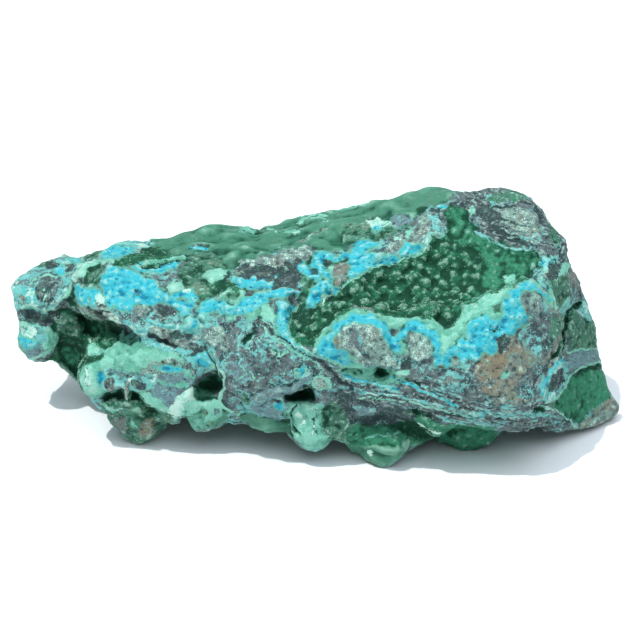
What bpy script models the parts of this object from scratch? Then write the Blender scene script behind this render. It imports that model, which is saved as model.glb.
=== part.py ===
"""Chrysocolla and malachite specimen: one natural block, broken from a vein, at its real size.

Metres, +Z up. X runs along the block, -Y is the broken front face and +Y the back. The origin
is on the surface the block rests on, under the middle of its bounding box.

The block is built the way such a specimen is put together: chunks of matrix rock, rounded
malachite lobes that hang from them, and hollows where the growth left open space. A remesh
grows all of it into one body, and the feet of the lobes are worn flat where the block stands.
"""

import math

import bmesh
import bpy
from mathutils import Euler, Matrix, Vector

MM = 0.001

# Driving dimensions, in millimetres.
GROWTH_GRID = 1.3  # spacing of the remesh that joins the chunks and lobes
SKIN_GRID = 1.1  # spacing of the remesh that closes the surface after the hollows are cut
SWELL_SIZE, SWELL_HEIGHT = 11.0, 1.5  # broad swells of the crust
GRIT_SIZE, GRIT_HEIGHT = 4.0, 0.9  # broken relief between them
CREST_LEVEL = 0.5  # cloud value that leaves the surface where it is
SURFACE_TRIANGLES = 8600
FOOT_WEAR = 0.35  # how much is worn off the lowest lobes
CENTRE_SHIFT = (0.02, 6.94)  # from the modelling origin to the middle of the bounding box
SURFACE_COLOUR = (0.07, 0.34, 0.27)
SURFACE_ROUGHNESS = 0.55

# Chunks of matrix rock, as the corners of their hulls: (x, y, z) in millimetres.
END_BLOCK = (
    (-63.9, 13, 29.8), (-61.5, 19, 29.4), (-52.2, 24, 30.3), (-63.7, 9, 26.7), (-54.3, 6.5, 28.4),
    (-52.3, 11, 30.3), (-64.1, 9, 16.5), (-61.5, 8.5, 13.9), (-55.3, 8.5, 14.9), (-60.5, 22, 16.1),
    (-52.2, 24, 15.1), (-46, 12, 30), (-46, 22, 31), (-46, 12, 18),
)
BLUE_ARM = (
    (-51, 17, 33.2), (-45.8, 17, 35.5), (-36, 21, 36), (-25, 25, 36.8), (-18, 25, 37.4),
    (-51.6, 5, 34.3), (-43, 2, 39), (-36.5, -1, 36.2), (-26, -2, 35.6),
    (-50.1, -3, 29.9), (-44.2, -8, 31.2), (-40, -9.5, 30.5), (-30, -9.5, 29.5), (-22, -10, 29.5),
    (-49.5, 14, 22.8), (-40, 19, 21), (-25, 23, 16), (-24, 0, 18), (-40, 2, 27),
)
DARK_WALL = (
    (-58.3, 14, 15.5), (-56, 11, 9.5), (-51.6, 7, 6.3), (-46.4, 4, 3.6), (-41.2, 2, 3.8),
    (-40, 3, 28), (-55.1, 15, 22.2), (-52.8, 20, 17.8), (-46.3, 16, 5.8), (-38, 18, 24), (-36, 14, 6),
)
PALE_BLOCK = (
    (-47.5, -7, 25), (-42, -7, 25.5), (-36.5, -8, 27), (-29, -11, 24), (-22, -11, 25),
    (-49, -9, 19.5), (-48.8, -8, 11), (-46, -8, 8.5), (-41, -11, 14), (-36, -8.5, 8.5),
    (-32.5, -11, 12.5), (-26, -12, 13.5), (-46, 4, 22), (-44, 9, 10), (-41, 15, 21),
    (-38, 16, 10), (-22, 20, 10), (-22, 20, 24), (-20, 6, 9), (-20, 4, 26), (-38, 6, 26),
)
CENTRE = (
    (-25, 24.5, 37), (-19, 25, 37.8), (-8, 25, 38), (2, 27, 39.6), (7, 27, 41),
    (-26, -2, 35.6), (-21, -4, 34), (-14, -5, 35), (-6, -3, 37.5), (2, -3, 37), (9, 3, 38),
    (-24, -10, 29.5), (-21, -13, 26.5), (-19, -15.5, 20), (-12, -17.5, 18.5), (-6, -17.5, 21),
    (0, -17.5, 25.5), (-3, -16.5, 29), (-10, -10.5, 34.6), (4, -16, 31),
    (3, -17.5, 16.5), (-4, -16, 15), (-14, -14, 14), (9, -15, 14),
    (-24, 31, 18), (-22, 27, 8), (9, 34, 18), (9, 27, 7), (-20, -6, 8.5), (9, -9, 8),
)
BODY = (
    (2, -13, 34), (9, 3, 38), (17, 8, 39.5), (22.5, 16, 44), (27.5, 20.5, 46.8), (34, 18.5, 48),
    (40, 15, 48), (44, 3, 43.5), (46.5, -5, 39.5), (39, -10.5, 38.2), (28, -13.5, 35.8),
    (15, -14.5, 34.4), (3, -14.5, 32.5), (15, -17.5, 29), (27, -16.5, 29),
    (6, -16.5, 14), (20, -19.5, 17.5), (24, -20, 16.5), (36.5, -19.5, 13), (42, -16, 10.5),
    (5, 27, 40.5), (17, 25, 44), (28, 23, 46.4), (40, 19, 46.5), (49.5, 9, 41), (54, 5, 34),
    (53, 14, 30), (46, 24, 26), (30, 32, 26), (6, 34, 20), (50, 14, 12), (32, 26, 8), (4, 28, 8),
)
HEAD = (
    (26, 19.5, 46.6), (33.5, 18, 48.6), (39.5, 15, 50), (44.4, 13, 49), (47.4, 11, 47),
    (49.8, 9, 42.4), (53.2, 9, 39.8), (49, 4, 41), (43, 2, 43.5), (34, 7, 45), (29, 12, 44.5),
    (51.5, 17, 37), (44, 25, 41), (33, 27, 42),
)
PROW = (
    (39, -10.5, 38.6), (43, -8, 39.4), (46.5, -5, 38.6), (49.6, -7.5, 34), (50.6, -10, 28.5),
    (49.6, -13, 23.5), (47, -16, 17.5), (47.5, -14, 9.5), (42, -17.5, 9.5), (36.5, -20, 12),
    (31, -21.5, 16.5), (31.5, -22, 25), (33, -16.5, 34), (26.5, -18, 27.5), (20.5, -20, 18.5),
    (24.5, -20.5, 17), (41.5, -21.5, 19.5), (46, 0, 30), (44, -2, 10), (25, -5, 10),
    (14, -18, 29), (10, -17.5, 15.5), (14, -17.5, 14),
)
FIN = (
    (51.8, 2, 24.4), (54.6, 12, 31.4), (55, 12, 26.3), (55.8, 11, 18.6), (58.6, 10, 10.3),
    (64.4, 5, 2.9), (64.2, 4, 0.6), (60.1, 1, 0.5), (55.7, -3, 1.6), (50.3, -7.5, 3), (46, -11, 4.8),
    (47.2, -3, 9.9), (49.4, 1, 14.8), (54.4, 15, 22), (58, 16, 9), (60.5, 13, 2.5), (50, 14, 4), (46, 10, 18),
)
LOWER_SKIRT = (  # matrix under the prow, between the lobes
    (-6, -11, 13), (8, -13, 12.5), (22, -14, 12), (38, -13, 10), (47, -8, 7),
    (-4, 4, 7), (20, 4, 6.5), (42, 4, 6), (0, -6, 8.5), (24, -8, 7.6), (40, -7, 6.6),
)
BACK_LEDGES = (  # broken rock of the back
    (
        (-31, 24, 31), (-16, 31, 33), (-9, 29.5, 27), (-13, 34.5, 20), (-30, 29.5, 17),
        (-27, 27, 10), (-12, 30, 9), (-20, 20, 34),
    ),
    (
        (-4, 28, 37), (10, 33, 33), (19, 35, 26), (12, 36, 20), (-2, 34, 15), (2, 31, 8),
        (17, 30, 9), (-6, 30, 25), (6, 22, 38),
    ),
    (
        (25, 28, 39), (38, 27, 37), (47, 21, 29), (37, 31, 24), (25, 33.5, 18), (40, 24, 11),
        (27, 29, 9), (34, 20, 40),
    ),
    (
        (47, 8, 32), (54.8, 9, 25), (55.8, 12, 16), (50, 20, 21), (50, 16, 9), (44, 20, 14),
        (44, 10, 8),
    ),
)
CHUNKS = (
    END_BLOCK, BLUE_ARM, DARK_WALL, PALE_BLOCK, CENTRE, BODY, HEAD, PROW, FIN, LOWER_SKIRT, *BACK_LEDGES,
)

# Rounded lobes, each (centre, radii, turn in degrees). Those listed as feet reach the surface.
LOBES = (
    ((-59.4, 11, 16.0), (4.9, 5.3, 4.7), (0, -10, 0)),  # hangs from the left end
    ((-46.4, -5.5, 17.0), (4.0, 5.2, 5.0), (0, 8, 0)),  # knob on the left of the pale block
    ((-24.4, -7, 10.4), (3.9, 4.8, 6.0), (8, 0, 0)),  # drop under the pale block
    ((-17.5, -8, 10.6), (3.6, 4.2, 4.2), (0, 0, 0)),
    ((-10.5, -9, 10.2), (5.6, 4.4, 4.4), (0, 12, 0)),  # thin drape along the lower edge
    ((-1.4, -12, 8.2), (4.4, 4.8, 5.6), (0, 0, 0)),
    ((5.2, -12, 11.0), (4.2, 4.0, 4.4), (0, 0, 0)),
    ((53.5, 3.5, 7.9), (6.4, 4.4, 6.2), (0, 0, 30)),  # swell on the face of the fin
    ((8.5, -14.0, 29.5), (7.0, 4.2, 5.4), (0, 0, 0)),  # first island of rock under the vug
    ((21.0, -14.6, 30.0), (3.6, 3.4, 4.2), (0, 0, 0)),  # second island
    ((-2, 7, 8.4), (6.5, 6.0, 5.4), (0, 0, 0)),  # from here on, under the block
    ((-17, 4, 9.4), (5.4, 5.0, 5.0), (0, 0, 0)),
    ((9, 12, 7.8), (5.4, 6.2, 4.8), (0, 0, 0)),
    ((31, 8, 7.6), (6.0, 5.2, 5.0), (0, 0, 0)),
    ((-20, 22, 9.5), (4.6, 5.0, 5.2), (0, 0, 0)),
    ((33, 27, 10.5), (5.2, 4.6, 5.6), (0, 0, 0)),
    ((7, 30, 10.0), (5.6, 4.4, 5.0), (0, 0, 0)),
    ((-34, 24, 20.0), (4.4, 4.0, 4.8), (0, 0, 0)),  # on the back
    ((22, 32.5, 27.0), (4.6, 3.6, 5.2), (0, 0, 0)),
)
FEET = (
    ((-40.2, -3.2, 4.9), (5.2, 5.6, 5.6), (0, 0, 0)),
    ((14.2, -10.2, 5.3), (8.2, 6.8, 6.0), (0, 0, -8)),
    ((31.8, -5.0, 5.0), (7.0, 6.2, 5.4), (0, -6, 0)),
    ((-30, 13, 6.0), (7.5, 7.0, 6.4), (0, 0, 20)),
    ((-8, 22, 6.5), (8.0, 6.5, 6.9), (0, 0, 0)),
    ((20, 22, 6.0), (7.0, 7.5, 6.4), (0, 0, -15)),
    ((42, 13, 5.5), (7.5, 6.5, 5.9), (0, 0, 10)),
)
# Open hollows, each (centre, radii, turn).
VUG_TILT = 34  # how far the floor of the vug leans towards the front
HOLLOWS = (
    ((-0.6, -10.6, 35.0), (6.6, 6.8, 3.8), (VUG_TILT, -20, -12)),  # left arm of the vug
    ((7.4, -7.0, 38.4), (7.4, 5.6, 4.4), (VUG_TILT, -14, -10)),
    ((16.8, -4.4, 40.0), (10.5, 8.6, 6.4), (VUG_TILT, -8, -6)),
    ((27.0, -2.8, 42.2), (11.5, 10.6, 7.2), (VUG_TILT, -6, -6)),  # deepest part
    ((37.6, -2.0, 43.6), (10.0, 8.0, 5.4), (VUG_TILT, -4, 6)),
    ((28.4, 8.5, 46.2), (4.6, 7.0, 4.2), (28, 0, -20)),  # bay that runs up beside the head
    ((26.2, -13.6, 36.2), (2.6, 4.4, 4.2), (-30, 6, 0)),  # notch in the front rim
    ((-44.4, -8.6, 27.6), (8.8, 9.5, 3.4), (0, 14, 0)),  # cave under the blue arm
    ((-22.4, -14.4, 17.0), (3.4, 7.0, 2.9), (0, -18, 0)),  # pocket beside the pale block
    ((-4.2, -18.4, 17.0), (4.2, 6.0, 2.2), (0, -10, 0)),  # slot under the centre
    ((52.4, -10.4, 22.0), (2.1, 6.0, 10.5), (0, 16, -28)),  # cleft between the prow and the fin
    ((-6.5, 36.0, 27.0), (5.0, 4.4, 8.0), (0, 20, 0)),  # from here on, in the back
    ((22.0, 37.0, 14.0), (5.2, 5.0, 5.4), (0, -25, 0)),
    ((-38.0, 26.0, 29.0), (6.0, 5.0, 3.4), (0, 15, 30)),
    ((49.5, 22.0, 31.0), (5.0, 5.5, 4.0), (0, 30, 20)),
)


def placed(obj_name, mesh):
    """A new object in the scene that holds this mesh."""
    obj = bpy.data.objects.new(obj_name, mesh)
    obj.location = [-shift * MM for shift in (*CENTRE_SHIFT, FOOT_WEAR)]
    bpy.context.scene.collection.objects.link(obj)
    return obj


def add_chunk(bm, corners):
    """A chunk of rock: the hull of its corners."""
    points = [bm.verts.new(Vector(corner) * MM) for corner in corners]
    hull = bmesh.ops.convex_hull(bm, input=points)
    spare = {e for key in ("geom_interior", "geom_unused") for e in hull[key]}
    bmesh.ops.delete(bm, geom=[e for e in spare if isinstance(e, bmesh.types.BMVert)], context="VERTS")


def lobe_matrix(centre, radii, turn):
    """Places a unit sphere as an ellipsoid with these radii, turned about its centre."""
    move = Matrix.Translation(Vector(centre) * MM)
    spin = Euler([math.radians(a) for a in turn]).to_matrix().to_4x4()
    return move @ spin @ Matrix.Diagonal((*[r * MM for r in radii], 1.0))


def add_lobe(bm, centre, radii, turn, detail=3):
    bmesh.ops.create_icosphere(bm, subdivisions=detail, radius=1.0, matrix=lobe_matrix(centre, radii, turn))


def rock():
    """Chunks and lobes as separate overlapping shells in one mesh, to be joined by the remesh."""
    mesh = bpy.data.meshes.new("specimen")
    bm = bmesh.new()
    for corners in CHUNKS:
        shell = bmesh.new()
        add_chunk(shell, corners)
        bmesh.ops.recalc_face_normals(shell, faces=shell.faces)
        piece = bpy.data.meshes.new("chunk")
        shell.to_mesh(piece)
        shell.free()
        bm.from_mesh(piece)
        bpy.data.meshes.remove(piece)
    for shape in (*LOBES, *FEET):
        add_lobe(bm, *shape)
    bm.to_mesh(mesh)
    bm.free()
    return placed("specimen", mesh)


def cutter(name, build):
    """A helper mesh that only cuts: it isn't part of the specimen."""
    mesh = bpy.data.meshes.new(name)
    bm = bmesh.new()
    build(bm)
    bm.to_mesh(mesh)
    bm.free()
    obj = placed(name, mesh)
    obj.hide_render = True
    obj.display_type = "WIRE"
    return obj


def remesh(obj, name, grid):
    step = obj.modifiers.new(name, "REMESH")
    step.mode = "VOXEL"
    step.voxel_size = grid * MM


def cut(obj, name, tool):
    step = obj.modifiers.new(name, "BOOLEAN")
    step.operation = "DIFFERENCE"
    step.solver = "EXACT"
    step.object = tool


def relief(obj, name, size, height):
    """Swells the surface in and out by a cloud pattern of this size."""
    clouds = bpy.data.textures.new(name, "CLOUDS")
    clouds.noise_scale = size * MM
    clouds.noise_depth = 2
    step = obj.modifiers.new(name, "DISPLACE")
    step.texture = clouds
    step.texture_coords = "LOCAL"
    step.mid_level = CREST_LEVEL
    step.strength = height * MM


def finish_surface(obj, name, repeat):
    step = obj.modifiers.new(name, "SMOOTH")
    step.factor = 0.5
    step.iterations = repeat


def thin_out(obj):
    """Brings the closed skin down to its triangle budget."""
    count = obj.modifiers.new("triangles", "TRIANGULATE")
    count.min_vertices = 4
    graph = bpy.context.evaluated_depsgraph_get()
    have = len(obj.evaluated_get(graph).data.polygons)
    step = obj.modifiers.new("thin", "DECIMATE")
    step.ratio = SURFACE_TRIANGLES / have
    step.use_collapse_triangulate = True


def stone_material():
    material = bpy.data.materials.new("chrysocolla_malachite")
    material.use_nodes = True
    shader = material.node_tree.nodes["Principled BSDF"]
    shader.inputs["Base Color"].default_value = (*SURFACE_COLOUR, 1.0)
    shader.inputs["Roughness"].default_value = SURFACE_ROUGHNESS
    shader.inputs["Metallic"].default_value = 0.0
    return material


def specimen():
    obj = rock()
    remesh(obj, "grow_together", GROWTH_GRID)
    for number, shape in enumerate(HOLLOWS):
        cut(obj, f"hollow_{number}", cutter(f"hollow_{number}", lambda bm, s=shape: add_lobe(bm, *s)))
    remesh(obj, "close_skin", SKIN_GRID)
    finish_surface(obj, "soften", 3)
    relief(obj, "swells", SWELL_SIZE, SWELL_HEIGHT)
    relief(obj, "grit", GRIT_SIZE, GRIT_HEIGHT)
    thin_out(obj)
    ground = Matrix.Translation((0, 0, (FOOT_WEAR - 20) * MM)) @ Matrix.Diagonal((0.2, 0.2, 0.04, 1.0))
    cut(obj, "feet", cutter("ground", lambda bm: bmesh.ops.create_cube(bm, size=1.0, matrix=ground)))
    obj.data.materials.append(stone_material())
    return obj


def main():
    for obj in list(bpy.data.objects):
        bpy.data.objects.remove(obj)
    specimen()


main()
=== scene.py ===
"""Looks of the chrysocolla specimen, laid out as an add-on.

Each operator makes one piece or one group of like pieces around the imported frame: the skin of the
stone with the bubbles of its open druse, the grains of the blue crusts, the loose crystals, and the
stage. Lengths in the tables are millimetres, and the scene itself is in metres.
"""

import math

import bpy
import numpy as np
from bpy.props import FloatProperty, FloatVectorProperty, IntProperty, PointerProperty
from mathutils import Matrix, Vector
from mathutils.bvhtree import BVHTree


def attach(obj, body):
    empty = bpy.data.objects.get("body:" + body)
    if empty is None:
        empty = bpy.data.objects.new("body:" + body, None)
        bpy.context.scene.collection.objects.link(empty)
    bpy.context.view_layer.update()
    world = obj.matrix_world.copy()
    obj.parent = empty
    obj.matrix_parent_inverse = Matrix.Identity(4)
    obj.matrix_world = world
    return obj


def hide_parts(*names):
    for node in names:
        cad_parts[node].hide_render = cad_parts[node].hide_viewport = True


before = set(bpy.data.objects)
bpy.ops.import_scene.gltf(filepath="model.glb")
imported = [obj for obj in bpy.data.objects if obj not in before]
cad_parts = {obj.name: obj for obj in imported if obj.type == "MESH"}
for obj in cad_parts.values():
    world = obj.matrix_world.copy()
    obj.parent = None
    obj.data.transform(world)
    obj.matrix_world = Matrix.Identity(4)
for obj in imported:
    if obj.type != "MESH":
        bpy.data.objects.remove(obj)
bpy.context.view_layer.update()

bl_info = {
    "name": "Chrysocolla specimen",
    "version": (1, 0, 0),
    "blender": (4, 5, 0),
    "location": "3D Viewport > Sidebar > Specimen",
    "description": "Skin, druse, crusts and stage for a packed mineral specimen",
    "category": "Object",
}

MM = 0.001
NODE = "specimen"
BODY = "root"

# The view that the outlines below are drawn in: a 638 x 640 frame.
FRAME_WIDTH, FRAME_HEIGHT = 638, 640
VIEW_TARGET = (-0.02, -6.94, 26.45)
VIEW_DISTANCE = 600.0
VIEW_ELEVATION = 28.0
FOCAL_PIXELS = 2908.0
SENSOR = 36.0
CLIP_END = 10.0
PIXELS_PER_MM = FOCAL_PIXELS / VIEW_DISTANCE
RISE = math.radians(VIEW_ELEVATION)
SIN_RISE, COS_RISE = math.sin(RISE), math.cos(RISE)
TO_VIEW = np.array((0.0, -COS_RISE, SIN_RISE))
EYE = np.array(VIEW_TARGET) + VIEW_DISTANCE * TO_VIEW

# Lights: a sun, a wide soft panel above and the sky.
SUN_STRENGTH = 2.3
SUN_SOFTNESS = 1.2
SUN_TRAVEL = (0.35, 0.22, -1.0)
PANEL_POWER = 15.0
PANEL_WIDTH = 1.5
PANEL_PLACE = (0.1, -0.3, 1.1)
SKY_COLOUR = (0.85, 0.93, 1.0)
SKY_STRENGTH = 0.37

# How the skin is meshed.
MERGE_GAP = 0.00001
ROUGH_SMOOTHING, FINE_SMOOTHING = 6, 2
DEEP = -0.8  # relief lower than this is a hole, carved straight away from the view
CARVE = 2.2  # and its depth is exaggerated this much
UNSEEN = 0.1  # the skin is thinned where less than this share of it is in view
THINNING = 0.17

# How the front is told from the hidden sides.
LIFT = 0.25  # rays to the eye start this far off the skin
GRAZING = 0.02
PATCH_ROOM, LINE_ROOM = 1.2, 1.0  # how much two finishes may overlap in a patch's or a line's border
WAVER_SIZE = 2.2
RELIEF_ROUNDS, BLEND_ROUNDS, CARRY_ROUNDS = 2, 4, 14

# Depth masks of the skin, by which the paint lays painted shade in hollows and painted highlight on crests:
# (name, rounds of averaging, depth that counts as full).
DEPTHS = (("pit", 3, 0.1), ("hollow", 24, 0.5))
THINNED_DEPTH = 0.3  # the thinned sides have long edges, which would deepen every hollow

STRIKE = np.array((0.22, 0.1, 0.97))  # across the layers of the banded rock
SHEEN = 0.22  # natural stone throws back little white light

# Bubbles of the druse.
FULL_MASK, IN_VIEW = 0.8, 0.3
OUTER_SIZE, OUTER_CHANCE = 0.6, 0.12  # outside the part where they are large
BUBBLE_CROWDING = 0.58
BUBBLE_BALL, GRAIN_BALL = 2, 1  # subdivisions

# Grains and crystals.
SMALLEST = 0.4  # share of the largest one's radius
BLUE_MASK = 0.62
GRAIN_CROWDING, GRAIN_CHANCE = 1.0, 0.25
SUNK, PROUD = -0.3, 0.2  # where their middles lie, in radii off the skin
CRYSTALS = 3600
CRYSTAL_FINISHES = ("druse", "olive", "ash", "rust", "ochre")
HIDDEN_WEIGHT, CREST_WEIGHT = 3.0, 4
OPEN_DEPTH, CREST_DEPTH = 0.6, 0.42

# Finishes of the skin, each a soft mask on the mesh. "matrix" is the bare rock below them all.
FINISHES = (
    "malachite", "velvet", "olive", "strata", "emerald", "mint", "turquoise", "lilac", "ash", "rust",
    "ochre", "druse", "blue", "cream", "umber",
)

# The open druse, a bowl lined with bubbles.
DRUSE_OUTLINE = (
    (287, 330), (288, 312), (297, 305), (306, 303), (321, 292), (338, 289), (355, 277), (373, 267),
    (397, 264), (405, 259), (425, 250), (431, 237), (442, 236), (448, 227), (443, 212), (449, 205),
    (463, 207), (468, 220), (480, 233), (499, 241), (520, 249), (538, 252), (541, 264), (534, 276),
    (516, 284), (504, 289), (487, 293), (473, 302), (461, 312), (452, 326), (446, 329), (434, 320),
    (412, 318), (390, 317), (372, 312), (354, 309), (338, 316), (325, 327), (313, 347), (300, 345),
    (290, 338),
)
# The part of it where the bubbles are large.
BUBBLE_OUTLINE = (
    (289, 330), (290, 312), (306, 303), (330, 292), (352, 284), (380, 268), (412, 258), (440, 246),
    (470, 252), (482, 270), (476, 290), (464, 304), (446, 318), (400, 314), (356, 306), (334, 314),
    (314, 338), (298, 342),
)

# Where the rough stone is drawn in or out to the real outline: (pixel, reach in pixels, move in
# millimetres).
NUDGES = (
    ((158, 234), 26, (0, 0, -1.7)), ((100, 250), 22, (0, 0, -0.8)), ((256, 220), 30, (0, 0, -1.5)),
    ((292, 214), 26, (0, 0, -1.2)), ((336, 207), 26, (0, 0, -0.9)), ((468, 188), 18, (0, 0, -1.2)),
    ((556, 220), 20, (-1.2, 0, -1.6)), ((602, 362), 26, (-1.3, 0, 0)), ((614, 390), 16, (-0.8, 0, 0)),
    ((14, 283), 13, (-1.0, 0, 0.5)), ((13, 328), 15, (1.3, 0, 0)), ((20, 356), 12, (0.9, 0, 0.4)),
    ((56, 262), 16, (0, 0, 0.7)), ((90, 404), 12, (0.6, 0, 1.8)), ((122, 430), 20, (5.2, 0.6, 0.6)),
    ((160, 416), 17, (4.4, 0, -2.8)), ((412, 456), 13, (-2.0, 0, 0.6)), ((434, 424), 16, (0, -1.0, -3.6)),
    ((348, 440), 13, (-0.8, 0, -2.4)), ((258, 222), 10, (0, 0, -0.6)),
)
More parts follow.
